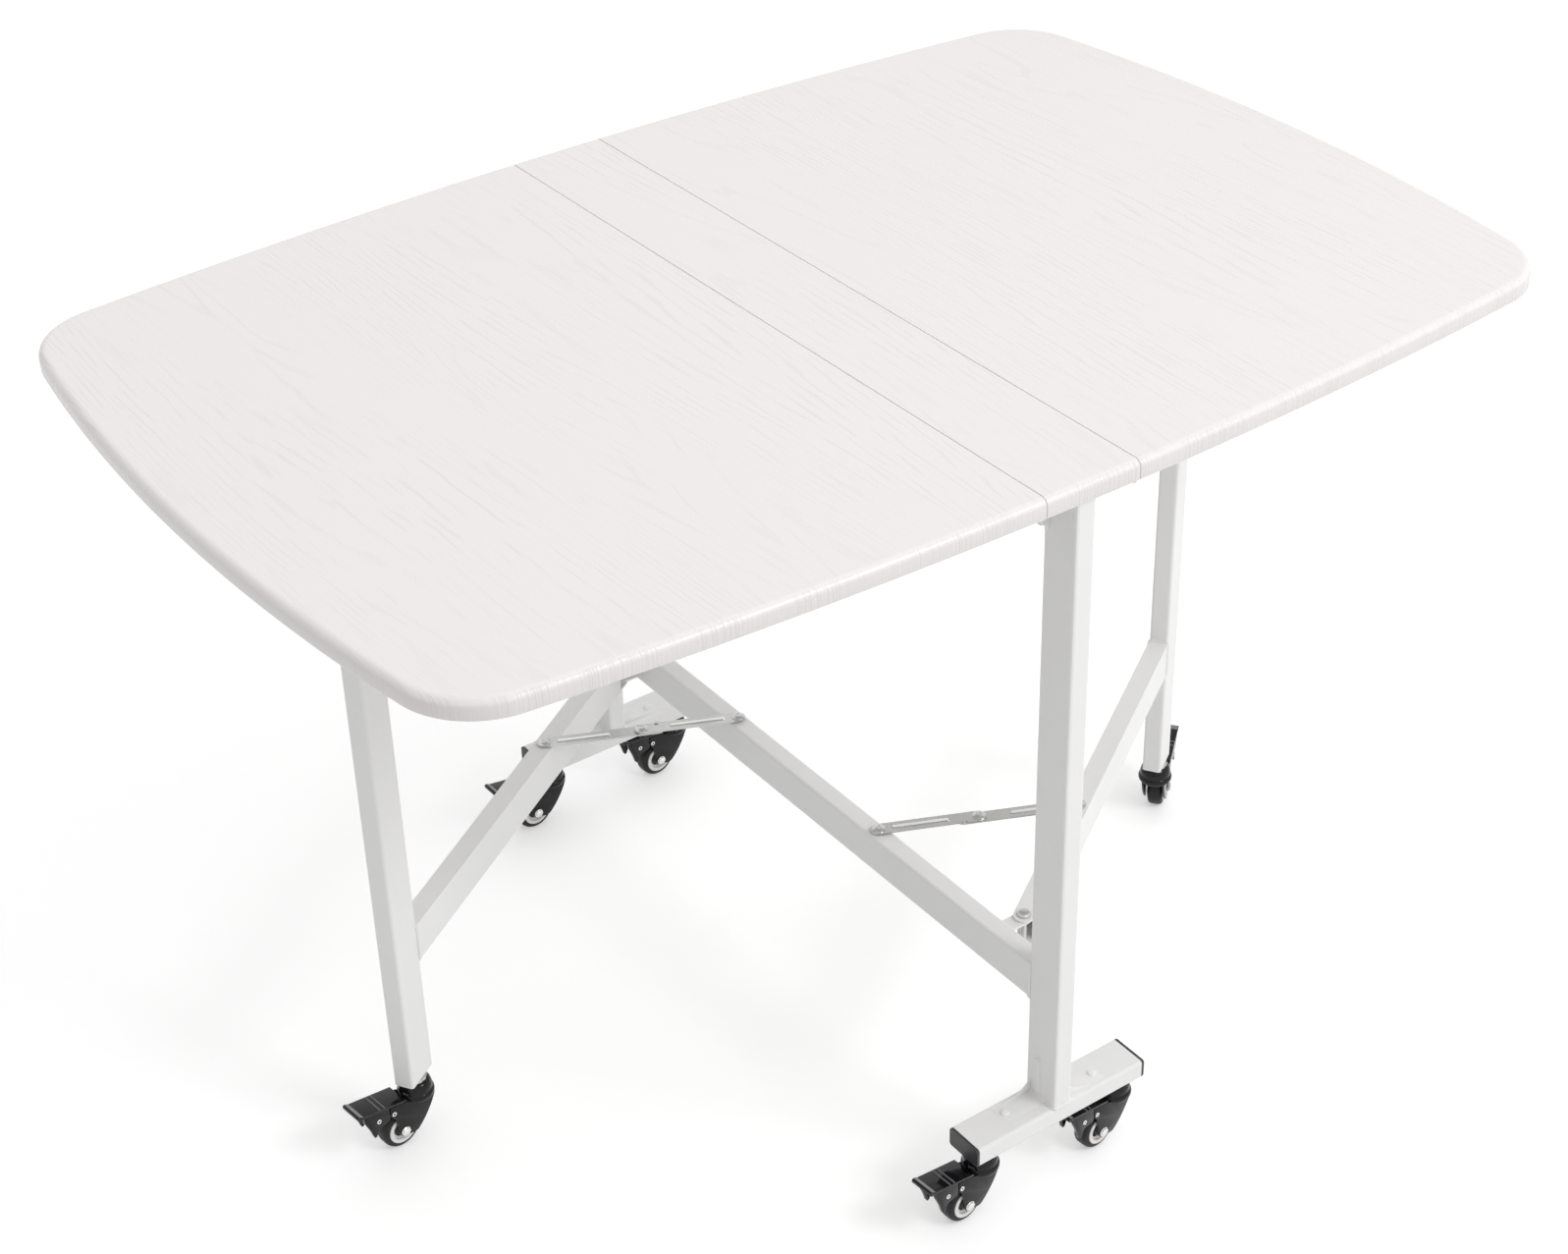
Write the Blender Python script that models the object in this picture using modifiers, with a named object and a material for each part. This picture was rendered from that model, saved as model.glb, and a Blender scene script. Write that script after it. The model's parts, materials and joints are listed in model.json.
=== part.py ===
"""Folding dining table: a drop-leaf top on a centre frame, two gate legs with folding stays, six braked casters.

Metres, +Z up. X runs along the long side of the top, Y along the seams, and the floor under the centre is the origin.
"""
import math

import bmesh
import bpy
from mathutils import Matrix, Vector

# Fits
FIT_GAP = 0.0003            # between pieces that touch
RUNNING_GAP = 0.0001        # around a pin in its hole

# Top
TOP_LENGTH = 1.200
TOP_WIDTH = 0.800
TOP_HEIGHT = 0.760
PANEL_THICK = 0.018
END_BOW = 0.040             # rise of each bowed end over the full width
SIDE_BOW = 0.037            # rise of each bowed side over the full length
CORNER_RADIUS = 0.076
EDGE_ROUND = 0.0070
EDGE_EASE = 0.0012
STRIP_WIDTH = 0.097         # centre panel, seam to seam
SEAM_GAP = 0.0008

# Steel tube used throughout the frame
TUBE_WIDE = 0.040
TUBE_NARROW = 0.020
TUBE_WALL = 0.0015
TUBE_CORNER = 0.0025

# Centre frame
POST_OVERHANG = 0.008       # top edge beyond the outer face of a post
LOWER_RAIL_TOP = 0.238
UPPER_RAIL_HEIGHT = 0.030
FOOT_LENGTH = 0.200
CASTER_FROM_END = 0.020     # foot end to caster stem
CAP_THICK = 0.0025
CAP_INSERT = 0.012

# Corner brackets between posts and feet
BRACKET_RISE = 0.050
BRACKET_RUN = 0.046
BRACKET_WIDTH = 0.026
BRACKET_EDGE = 0.019         # web edge from the middle of the post
BRACKET_THICK = 0.0012
BRACKET_FILLET = 0.004
BRACKET_WEB = 0.024         # web along the post and along the foot
RIB_WIDTH = 0.007
RIB_RISE = 0.0012
RIB_FROM_FOOT = 0.009
BOLT_HEAD_RADIUS = 0.0045
BOLT_HEAD_RISE = 0.0022

# Hinges under the seams
HINGE_BARREL = 0.0028
HINGE_PIN = 0.0013
HINGE_LEAF_WIDTH = 0.018
HINGE_LEAF_THICK = 0.0012
HINGE_END_INSET = 0.006
HINGE_KNUCKLES = 5

# Gate legs
GATE_SPREAD = 0.444         # leg centre from the table's centre, along X
GATE_LEG_Y = 0.028          # and along Y, towards its own pivot
GATE_PIVOT_INSET = 0.056    # pivot from the inner face of its post
GATE_SIDE_GAP = 0.010       # closed gate rail to lower rail
TONGUE_THICK = 0.002
TONGUE_WINDOW = 0.014       # side walls cut back behind the pivot
LUG_THICK = 0.0025
LUG_RADIUS = 0.008
PIVOT_BOLT = 0.003
PIVOT_HEAD_RADIUS = 0.0065
PIVOT_HEAD_RISE = 0.004
PIVOT_NUT_RISE = 0.005
PLUG_CAP = 0.003
PLUG_INSERT = 0.016
LEG_FLOOR = 0.0025          # closed bottom of a gate leg
REST_PAD_LENGTH = 0.064
REST_PAD_WIDTH = 0.044
SWING_CLEARANCE = 0.0007    # leg top below the hinge barrels

# Folding stays
STAY_ANCHOR_REACH = 0.1795  # gate pivot to the fixed rivet, along the lower rail
STAY_GRIP = 0.176           # gate pivot to the stay's rivet on the gate rail
STAY_HALF_WIDTH = 0.0075
STAY_THICK = 0.0015
STAY_PIN = 0.0024
STAY_HEAD_RADIUS = 0.0056
STAY_HEAD_RISE = 0.0018
STAY_STOP_REACH = 0.016     # stop pin behind the knee
STAY_STOP_SIDE = 0.0066     # and towards the edge
STAY_STOP = 0.0021
STAY_RIB_HALF = 0.0022
STAY_RIB_RISE = 0.0006

# Casters
WHEEL_RADIUS = 0.021
WHEEL_WIDTH = 0.016
HUB_RING = 0.0160
AXLE_TRAIL = 0.024
AXLE_RADIUS = 0.003
AXLE_NUT_RADIUS = 0.005
AXLE_NUT_RISE = 0.0035
FORK_SIDE_GAP = 0.0022      # wheel to fork plate
FORK_PLATE = 0.002
FORK_HEADROOM = 0.0055      # wheel to swivel cup
FORK_COVER = 0.0155         # fork plate ahead of the axle, over the wheel's front
CUP_RADIUS = 0.0180
CUP_HEIGHT = 0.0190
COLLAR_RADIUS = 0.0120
COLLAR_HEIGHT = 0.0034
STEM_RADIUS = 0.004
STEM_RISE = 0.012           # stem above the collar
STEM_DEPTH = 0.010          # stem inside the cup
RIVET_RADIUS = 0.0025
RIVET_RISE = 0.0008
PEDAL_LEAD = 0.0102         # pedal pivot behind the axle
PEDAL_PIN = 0.0013
PEDAL_BARREL = 0.0029
PEDAL_TYRE_GAP = 0.0059
PEDAL_TILT = 10.5           # degrees, standing up from the fork to the lip
PEDAL_THICK = 0.0022
PEDAL_REACH = 0.0335        # pivot to the foot of the lip
PEDAL_HALF_WIDTH = 0.0128
PEDAL_CUP_GAP = 0.0022
PEDAL_FORK_GAP = 0.0014     # pedal plate above the fork plates
LIP_LENGTH = 0.0060
LIP_RISE = 0.0020
LIP_CLEARANCE = 0.0014      # lip below the foot that it swings under
CHEEK_INSET = 0.0007
CHEEK_REACH = 0.0330        # pivot to the cheek's rear edge
CHEEK_HEEL = 0.0090         # cheek's rear corner above the pivot
TOOTH_ROOT = (0.0180, -0.0062)
TOOTH_TIP = (0.0228, -0.0148)
TOOTH_BLUNT = 0.0013
TOOTH_BACK = (0.0270, -0.0050)
CHEEK_RIVET_BACK = 0.0174   # second rivet behind the pivot
CHEEK_RIVET_UP = 0.0018

# Places that follow from the sizes
HALF_WIDE, HALF_NARROW = TUBE_WIDE / 2, TUBE_NARROW / 2
PANEL_BOTTOM = TOP_HEIGHT - PANEL_THICK
SEAM_X = STRIP_WIDTH / 2
CUP_BOTTOM = 2 * WHEEL_RADIUS + FORK_HEADROOM
CUP_TOP = CUP_BOTTOM + CUP_HEIGHT
CASTER_HEIGHT = CUP_TOP + COLLAR_HEIGHT + 2 * FIT_GAP
FOOT_TOP = CASTER_HEIGHT + TUBE_NARROW
POST_Y = TOP_WIDTH / 2 - POST_OVERHANG - HALF_WIDE
FOOT_CASTER_X = FOOT_LENGTH / 2 - CASTER_FROM_END
LOWER_RAIL_BOTTOM = LOWER_RAIL_TOP - TUBE_WIDE
HINGE_Z = PANEL_BOTTOM - FIT_GAP - HINGE_BARREL
LEG_TOP = HINGE_Z - HINGE_BARREL - SWING_CLEARANCE
GATE_PIVOT_X = TUBE_NARROW + GATE_SIDE_GAP
GATE_PIVOT_Y = POST_Y - HALF_WIDE - GATE_PIVOT_INSET
GATE_LENGTH = math.hypot(GATE_SPREAD - GATE_PIVOT_X, GATE_PIVOT_Y - GATE_LEG_Y)
GATE_ANGLE = math.atan2(GATE_PIVOT_Y - GATE_LEG_Y, GATE_SPREAD - GATE_PIVOT_X)
STAY_ANCHOR_Y = GATE_PIVOT_Y - STAY_ANCHOR_REACH
STAY_B_Z = LOWER_RAIL_TOP + FIT_GAP
STAY_A_Z = STAY_B_Z + STAY_THICK + FIT_GAP
PEDAL_PIVOT_R = WHEEL_RADIUS + PEDAL_TYRE_GAP + PEDAL_BARREL
PEDAL_PIVOT_X = AXLE_TRAIL + PEDAL_LEAD
PEDAL_PIVOT_Z = WHEEL_RADIUS + math.sqrt(PEDAL_PIVOT_R ** 2 - PEDAL_LEAD ** 2)
FORK_INNER = WHEEL_WIDTH / 2 + FORK_SIDE_GAP
FORK_OUTER = FORK_INNER + FORK_PLATE
PEDAL_LIP_TOP = CASTER_HEIGHT - LIP_CLEARANCE - PEDAL_PIVOT_Z

ROUND = 14                  # sides of small round pieces
CASTER_YAW = {              # trailing direction of each caster, degrees from +X
    "near_left": 185.0, "near_right": 187.0, "far_left": 182.0,
    "far_right": 184.0, "gate_left": 187.0, "gate_right": 38.0,
}
LOOKS = {                   # colour, metallic, roughness
    "white_film": ((0.86, 0.85, 0.845), 0.0, 0.38),
    "white_paint": ((0.86, 0.86, 0.85), 0.0, 0.35),
    "zinc": ((0.62, 0.63, 0.64), 1.0, 0.32),
    "black_paint": ((0.015, 0.015, 0.017), 0.0, 0.22),
    "black_rubber": ((0.02, 0.02, 0.02), 0.0, 0.55),
    "black_plastic": ((0.03, 0.03, 0.033), 0.0, 0.5),
    "white_plastic": ((0.78, 0.78, 0.77), 0.0, 0.5),
}


def clear_scene():
    for obj in list(bpy.data.objects):
        bpy.data.objects.remove(obj, do_unlink=True)


def new_collection(name):
    group = bpy.data.collections.new(name)
    bpy.context.scene.collection.children.link(group)
    return group


def look(name):
    mat = bpy.data.materials.get(name)
    if mat is None:
        colour, metallic, roughness = LOOKS[name]
        mat = bpy.data.materials.new(name)
        mat.use_nodes = True
        shader = mat.node_tree.nodes["Principled BSDF"]
        shader.inputs["Base Color"].default_value = (*colour, 1.0)
        shader.inputs["Metallic"].default_value = metallic
        shader.inputs["Roughness"].default_value = roughness
    return mat


def tidy(mesh):
    """Weld a mesh, merge its flat faces and turn it right side out."""
    bm = bmesh.new()
    bm.from_mesh(mesh)
    bmesh.ops.remove_doubles(bm, verts=bm.verts, dist=1e-6)
    bmesh.ops.dissolve_limit(bm, angle_limit=math.radians(0.05), verts=bm.verts, edges=bm.edges)
    bmesh.ops.recalc_face_normals(bm, faces=bm.faces)
    bm.to_mesh(mesh)
    bm.free()
    return mesh


def temporary(data):
    obj = bpy.data.objects.new("temporary", data)
    bpy.context.scene.collection.objects.link(obj)
    return obj


def settled(obj, helpers=()):
    """The mesh that an object and its modifiers give. The object and its helpers are removed."""
    bpy.context.view_layer.update()
    mesh = bpy.data.meshes.new_from_object(obj.evaluated_get(bpy.context.evaluated_depsgraph_get()))
    for one in [obj, *helpers]:
        bpy.data.objects.remove(one, do_unlink=True)
    return tidy(mesh)


def place(name, mesh, material, matrix=None):
    """Link a mesh as a named part, with its origin on its joint axis or at the world origin."""
    mesh.name = name
    mesh.shade_smooth()
    mesh.set_sharp_from_angle(angle=math.radians(38))
    mesh.materials.clear()
    mesh.materials.append(look(material))
    obj = bpy.data.objects.new(name, mesh)
    obj.matrix_world = matrix or Matrix.Identity(4)
    PARTS.objects.link(obj)
    return obj


def cut(obj, mesh, name):
    """Take a closed mesh, given in the part's own frame, out of a part."""
    cutter = bpy.data.objects.new(name, mesh)
    cutter.matrix_world = obj.matrix_world
    cutter.hide_render = True
    cutter.display_type = 'WIRE'
    CUTTERS.objects.link(cutter)
    modifier = obj.modifiers.new(name, 'BOOLEAN')
    modifier.operation = 'DIFFERENCE'
    modifier.solver = 'EXACT'
    modifier.object = cutter


def fuse(meshes, cutters=()):
    """Join closed meshes into one closed mesh, then take the cutters out of it."""
    base = temporary(meshes[0])
    helpers = []
    steps = [(m, 'UNION') for m in meshes[1:]] + [(m, 'DIFFERENCE') for m in cutters]
    for mesh, operation in steps:
        helper = temporary(mesh)
        helpers.append(helper)
        modifier = base.modifiers.new(operation, 'BOOLEAN')
        modifier.operation = operation
        modifier.solver = 'EXACT'
        modifier.object = helper
    return settled(base, helpers)


def box(low, high):
    size = Vector(high) - Vector(low)
    middle = (Vector(high) + Vector(low)) / 2
    bm = bmesh.new()
    bmesh.ops.create_cube(bm, size=1.0, matrix=Matrix.Translation(middle) @ Matrix.Diagonal((*size, 1.0)))
    mesh = bpy.data.meshes.new("box")
    bm.to_mesh(mesh)
    bm.free()
    return mesh


def plate(outlines, low, high, axes="xy"):
    """A flat outline, with any further outlines as holes, extruded from low to high along the third axis."""
    curve = bpy.data.curves.new("outline", 'CURVE')
    curve.dimensions = '2D'
    curve.fill_mode = 'BOTH'
    curve.extrude = (high - low) / 2
    for outline in outlines:
        spline = curve.splines.new('POLY')
        spline.points.add(len(outline) - 1)
        for point, (u, v) in zip(spline.points, outline):
            point.co = (u, v, 0.0, 1.0)
        spline.use_cyclic_u = True
    mesh = settled(temporary(curve))
    mesh.transform(Matrix.Translation((0, 0, (low + high) / 2)))
    if axes == "xz":
        mesh.transform(Matrix(((1, 0, 0, 0), (0, 0, 1, 0), (0, 1, 0, 0), (0, 0, 0, 1))))
    elif axes == "yz":
        mesh.transform(Matrix(((0, 0, 1, 0), (1, 0, 0, 0), (0, 1, 0, 0), (0, 0, 0, 1))))
    return tidy(mesh)


def prism(outline, low, high, axes="xy"):
    return plate([outline], low, high, axes)


def lathe(profile, sides=ROUND, axis="z", closed=False):
    """Turn a profile of (radius, height) points. An open profile starts and ends on the axis."""
    count = len(profile)
    edges = [(k, (k + 1) % count) for k in range(count if closed else count - 1)]
    mesh = bpy.data.meshes.new("profile")
    mesh.from_pydata([(radius, 0.0, height) for radius, height in profile], edges, [])
    obj = temporary(mesh)
    screw = obj.modifiers.new("turn", 'SCREW')
    screw.steps = screw.render_steps = sides
    screw.use_merge_vertices = True
    screw.merge_threshold = 1e-5
    result = settled(obj)
    if axis == "y":
        result.transform(Matrix.Rotation(-math.pi / 2, 4, 'X'))
    return result


def cylinder(radius, low, high, at=(0.0, 0.0), sides=ROUND, axis="z"):
    bm = bmesh.new()
    bmesh.ops.create_cone(bm, cap_ends=True, segments=sides, radius1=radius, radius2=radius, depth=high - low,
                          matrix=Matrix.Translation((0, 0, (low + high) / 2)))
    mesh = bpy.data.meshes.new("cylinder")
    bm.to_mesh(mesh)
    bm.free()
    if axis == "y":
        mesh.transform(Matrix.Translation((at[0], 0, at[1])) @ Matrix.Rotation(-math.pi / 2, 4, 'X'))
    else:
        mesh.transform(Matrix.Translation((at[0], at[1], 0)))
    return mesh


def dome(radius, rise, low, at=(0.0, 0.0), sides=ROUND):
    """A low rivet or bolt head standing on a plane."""
    mesh = lathe([(0, low), (radius, low), (radius, low + rise * 0.35), (radius * 0.72, low + rise * 0.85),
                  (0, low + rise)], sides)
    mesh.transform(Matrix.Translation((at[0], at[1], 0)))
    return mesh


def arc(centre, radius, start, end, steps):
    return [(centre[0] + radius * math.cos(start + (end - start) * k / steps),
             centre[1] + radius * math.sin(start + (end - start) * k / steps)) for k in range(steps + 1)]


def stadium(start, end, radius, steps=6):
    """Outline of a bar with round ends, along X."""
    return (arc((end, 0), radius, -math.pi / 2, math.pi / 2, steps)
            + arc((start, 0), radius, math.pi / 2, 3 * math.pi / 2, steps))


def rounded_rectangle(half_x, half_y, radius, steps=2):
    points = []
    for sx, sy, turn in ((1, 1, 0), (-1, 1, 1), (-1, -1, 2), (1, -1, 3)):
        centre = (sx * (half_x - radius), sy * (half_y - radius))
        points += arc(centre, radius, turn * math.pi / 2, (turn + 1) * math.pi / 2, steps)
    return points


def tube(half_u, half_v, low, high, axes="xy"):
    """Rectangular tube with open ends, its section in the two named axes."""
    outer = rounded_rectangle(half_u, half_v, TUBE_CORNER)
    inner = rounded_rectangle(half_u - TUBE_WALL, half_v - TUBE_WALL, TUBE_CORNER - TUBE_WALL)
    return plate([outer, inner], low, high, axes)


def turned(x, y, angle, z=0.0):
    return Matrix.Translation((x, y, z)) @ Matrix.Rotation(angle, 4, 'Z')


# Outline of the top: bowed sides and ends joined by round corners

SIDE_RADIUS = ((TOP_LENGTH / 2) ** 2 + SIDE_BOW ** 2) / (2 * SIDE_BOW)
END_RADIUS = ((TOP_WIDTH / 2) ** 2 + END_BOW ** 2) / (2 * END_BOW)
SIDE_CENTRE = Vector((0, TOP_WIDTH / 2 - SIDE_RADIUS))
END_CENTRE = Vector((TOP_LENGTH / 2 - END_RADIUS, 0))


def corner_centre():
    """Where the side and end arcs, both set in by the corner radius, cross."""
    r0, r1 = SIDE_RADIUS - CORNER_RADIUS, END_RADIUS - CORNER_RADIUS
    line = END_CENTRE - SIDE_CENTRE
    along = (line.length_squared + r0 ** 2 - r1 ** 2) / (2 * line.length)
    across = math.sqrt(r0 ** 2 - along ** 2)
    unit = line.normalized()
    return SIDE_CENTRE + unit * along + Vector((unit.y, -unit.x)) * across


def side_y(x):
    return SIDE_CENTRE.y + math.sqrt(SIDE_RADIUS ** 2 - x ** 2)


def leaf_outline():
    """Right leaf, from the far end of its seam round to the near end."""
    corner = corner_centre()
    seam = SEAM_X + SEAM_GAP / 2
    to_side = math.atan2(corner.y - SIDE_CENTRE.y, corner.x)
    to_end = math.atan2(corner.y, corner.x - END_CENTRE.x)
    far = arc(SIDE_CENTRE, SIDE_RADIUS, math.acos(seam / SIDE_RADIUS), to_side, 7)[:-1]
    far += arc(corner, CORNER_RADIUS, to_side, to_end, 8)[:-1]
    far += arc(END_CENTRE, END_RADIUS, to_end, 0.0, 5)[:-1]
    return far + [(TOP_LENGTH / 2, 0.0)] + [(x, -y) for x, y in reversed(far)]


def strip_outline():
    half = SEAM_X - SEAM_GAP / 2
    far = [(half * (k / 2 - 1), side_y(half * (k / 2 - 1))) for k in range(5)]
    return far + [(x, -y) for x, y in reversed(far)]


def panel(outline):
    """A board with a rounded upper edge and an eased lower edge. Edges along the seams stay square."""
    mesh = prism(outline, PANEL_BOTTOM, TOP_HEIGHT)
    bm = bmesh.new()
    bm.from_mesh(mesh)
    for level, size, steps in ((TOP_HEIGHT, EDGE_ROUND, 4), (PANEL_BOTTOM, EDGE_EASE, 1)):
        rim = [e for e in bm.edges if all(abs(v.co.z - level) < 1e-6 for v in e.verts)
               and abs(e.verts[0].co.x - e.verts[1].co.x) + abs(e.verts[0].co.y - e.verts[1].co.y) > 0
               and not all(abs(abs(v.co.x) - SEAM_X) <= SEAM_GAP for v in e.verts)]
        bmesh.ops.bevel(bm, geom=rim, offset=size, segments=steps, profile=0.5, affect='EDGES')
    bm.to_mesh(mesh)
    bm.free()
    return tidy(mesh)


def hinge_meshes():
    """One hinge along Y about its own pin: the strip's half with the pin, and the leaf's half."""
    half_length = side_y(SEAM_X) - HINGE_END_INSET
    step = 2 * half_length / HINGE_KNUCKLES
    top = HINGE_BARREL
    near_edge = HINGE_BARREL + FIT_GAP * 2
    halves = []
    for side in (-1, 1):
        plate_x = sorted((side * near_edge, side * (near_edge + HINGE_LEAF_WIDTH)))
        meshes = [box((plate_x[0], -half_length, top - HINGE_LEAF_THICK), (plate_x[1], half_length, top))]
        for k in range(HINGE_KNUCKLES):
            if (k % 2 == 0) != (side < 0):
                continue
            low, high = -half_length + k * step + FIT_GAP / 2, -half_length + (k + 1) * step - FIT_GAP / 2
            tab_x = sorted((side * HINGE_BARREL * 0.3, side * (near_edge + HINGE_BARREL)))
            meshes.append(cylinder(HINGE_BARREL, low, high, sides=10, axis="y"))
            meshes.append(box((tab_x[0], low, top - HINGE_LEAF_THICK), (tab_x[1], high, top)))
        if side < 0:
            meshes.append(cylinder(HINGE_PIN, -half_length + FIT_GAP, half_length - FIT_GAP, sides=8, axis="y"))
            halves.append(fuse(meshes))
        else:
            bore = cylinder(HINGE_PIN + RUNNING_GAP, -half_length - FIT_GAP, half_length + FIT_GAP, sides=8, axis="y")
            halves.append(fuse(meshes, [bore]))
    return halves


def build_top():
    half_turn = Matrix.Rotation(math.pi, 4, 'Z')
    place("centre_panel", panel(strip_outline()), "white_film")
    strip_half, leaf_half = hinge_meshes()
    pad_x, pad_y = REST_PAD_LENGTH / 2, REST_PAD_WIDTH / 2
    pad = prism(rounded_rectangle(pad_x, pad_y, pad_y / 4), LEG_TOP + FIT_GAP, PANEL_BOTTOM - FIT_GAP)
    for side, spin in (("right", Matrix.Identity(4)), ("left", half_turn)):
        axis = spin @ Matrix.Translation((SEAM_X, 0, HINGE_Z))
        leaf = panel(leaf_outline())
        leaf.transform(Matrix.Translation((-SEAM_X, 0, -HINGE_Z)))
        place(f"leaf_{side}", leaf, "white_film", axis)
        place(f"hinge_{side}_strip_half", strip_half.copy(), "zinc", axis)
        place(f"hinge_{side}_leaf_half", leaf_half.copy(), "zinc", axis)
        rest = pad.copy()
        rest.transform(Matrix.Translation((GATE_SPREAD - SEAM_X, -GATE_LEG_Y, -HINGE_Z)))
        place(f"leg_rest_{side}", rest, "white_plastic", axis)


def bracket_mesh():
    """Stamped corner bracket: X away from the post, Z up from the foot, web on the -Y edge."""
    g, t = FIT_GAP, BRACKET_THICK
    edge, inner = -BRACKET_EDGE, BRACKET_WIDTH - BRACKET_EDGE

    def elbow(thick, rise, run, fillet):
        bend = arc((g + thick + fillet, g + thick + fillet), fillet, math.pi, 1.5 * math.pi, 4)
        return [(g, g), (run, g), (run, g + thick)] + list(reversed(bend)) + [(g + thick, rise), (g, rise)]

    base = prism(elbow(t, BRACKET_RISE, BRACKET_RUN, BRACKET_FILLET), edge, inner, "xz")
    reach = BRACKET_WEB
    hollow = arc((g + reach, g + reach), reach - t, math.pi, 1.5 * math.pi, 6)
    web = prism([(g, g), (g + reach, g)] + list(reversed(hollow)) + [(g, g + reach)], edge, edge + t, "xz")
    upright = stadium(RIB_FROM_FOOT, BRACKET_RISE - RIB_WIDTH, RIB_WIDTH / 2)
    middle = (edge + inner) / 2
    rib = prism([(middle + v, u) for u, v in upright], g + t / 2, g + t + RIB_RISE, "yz")
    bolt_run = BRACKET_RUN - BOLT_HEAD_RADIUS * 1.6
    bolt = dome(BOLT_HEAD_RADIUS, BOLT_HEAD_RISE + t / 2, g + t / 2, (bolt_run, middle), 12)
    return fuse([base, web, rib, bolt])


def build_frame():
    rail_end = POST_Y - HALF_WIDE - FIT_GAP
    rail_middle = LOWER_RAIL_BOTTOM + HALF_WIDE
    lower = tube(HALF_NARROW, HALF_WIDE, -rail_end, rail_end, "xz")
    lower.transform(Matrix.Translation((0, 0, rail_middle)))
    lugs, holes = [], []
    for side in (-1, 1):
        x, y = side * GATE_PIVOT_X, -side * GATE_PIVOT_Y
        for level in (LOWER_RAIL_TOP - TONGUE_THICK - FIT_GAP - LUG_THICK, LOWER_RAIL_BOTTOM + TONGUE_THICK + FIT_GAP):
            reach = GATE_PIVOT_X - HALF_NARROW + TUBE_WALL / 2
            lug = prism(stadium(0.0, reach, LUG_RADIUS), level, level + LUG_THICK)
            trim = prism([(reach, -2 * LUG_RADIUS), (reach + 2 * LUG_RADIUS, -2 * LUG_RADIUS),
                          (reach + 2 * LUG_RADIUS, 2 * LUG_RADIUS), (reach, 2 * LUG_RADIUS)],
                         level - LUG_THICK, level + 2 * LUG_THICK)
            lug = fuse([lug], [trim])
            lug.transform(turned(x, y, math.pi if side > 0 else 0.0))
            lugs.append(lug)
        holes.append(cylinder(PIVOT_BOLT + RUNNING_GAP, LOWER_RAIL_BOTTOM, LOWER_RAIL_TOP, (x, y)))
    place("lower_rail", fuse([lower] + lugs, holes), "white_paint")

    upper = tube(HALF_NARROW, UPPER_RAIL_HEIGHT / 2, -rail_end, rail_end, "xz")
    upper.transform(Matrix.Translation((0, 0, PANEL_BOTTOM - FIT_GAP - UPPER_RAIL_HEIGHT / 2)))
    place("upper_rail", upper, "white_paint")

    bracket = bracket_mesh()
    for end, sign in (("near", -1), ("far", 1)):
        post = tube(HALF_NARROW, HALF_WIDE, FOOT_TOP + FIT_GAP, PANEL_BOTTOM - FIT_GAP)
        place(f"post_{end}", post, "white_paint", Matrix.Translation((0, sign * POST_Y, 0)))
        at_foot = Matrix.Translation((0, sign * POST_Y, CASTER_HEIGHT + HALF_NARROW))
        half_foot = FOOT_LENGTH / 2 - CAP_THICK - FIT_GAP
        foot = place(f"foot_{end}", tube(HALF_WIDE, HALF_NARROW, -half_foot, half_foot, "yz"), "white_paint", at_foot)
        for side, direction in (("left", -1), ("right", 1)):
            hole = cylinder(STEM_RADIUS + RUNNING_GAP, -TUBE_NARROW, 0.0, (direction * FOOT_CASTER_X, 0))
            cut(foot, hole, f"foot_{end}_stem_hole_{side}")
            spin = turned(0, sign * POST_Y, 0.0 if direction > 0 else math.pi)
            cap_start = FOOT_LENGTH / 2 - CAP_THICK
            flange = prism(rounded_rectangle(HALF_WIDE, HALF_NARROW, TUBE_CORNER), cap_start, FOOT_LENGTH / 2, "yz")
            fit = TUBE_WALL + FIT_GAP
            insert = prism(rounded_rectangle(HALF_WIDE - fit, HALF_NARROW - fit, TUBE_CORNER - TUBE_WALL),
                           cap_start - CAP_INSERT, cap_start + CAP_THICK / 2, "yz")
            cap_at = spin @ Matrix.Translation((0, 0, CASTER_HEIGHT + HALF_NARROW))
            place(f"foot_cap_{end}_{side}", fuse([flange, insert]), "black_plastic", cap_at)
            bracket_at = spin @ Matrix.Translation((HALF_NARROW, 0, FOOT_TOP))
            place(f"bracket_{end}_{side}", bracket.copy(), "white_paint", bracket_at)


def pivot_bolt_mesh():
    head = LOWER_RAIL_TOP + FIT_GAP
    nut = LOWER_RAIL_BOTTOM - FIT_GAP
    return lathe([(0, nut - PIVOT_NUT_RISE), (PIVOT_HEAD_RADIUS * 0.8, nut - PIVOT_NUT_RISE),
                  (PIVOT_HEAD_RADIUS * 0.8, nut), (PIVOT_BOLT, nut), (PIVOT_BOLT, head), (PIVOT_HEAD_RADIUS, head),
                  (PIVOT_HEAD_RADIUS, head + PIVOT_HEAD_RISE * 0.3),
                  (PIVOT_HEAD_RADIUS * 0.75, head + PIVOT_HEAD_RISE * 0.8), (0, head + PIVOT_HEAD_RISE)])


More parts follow.
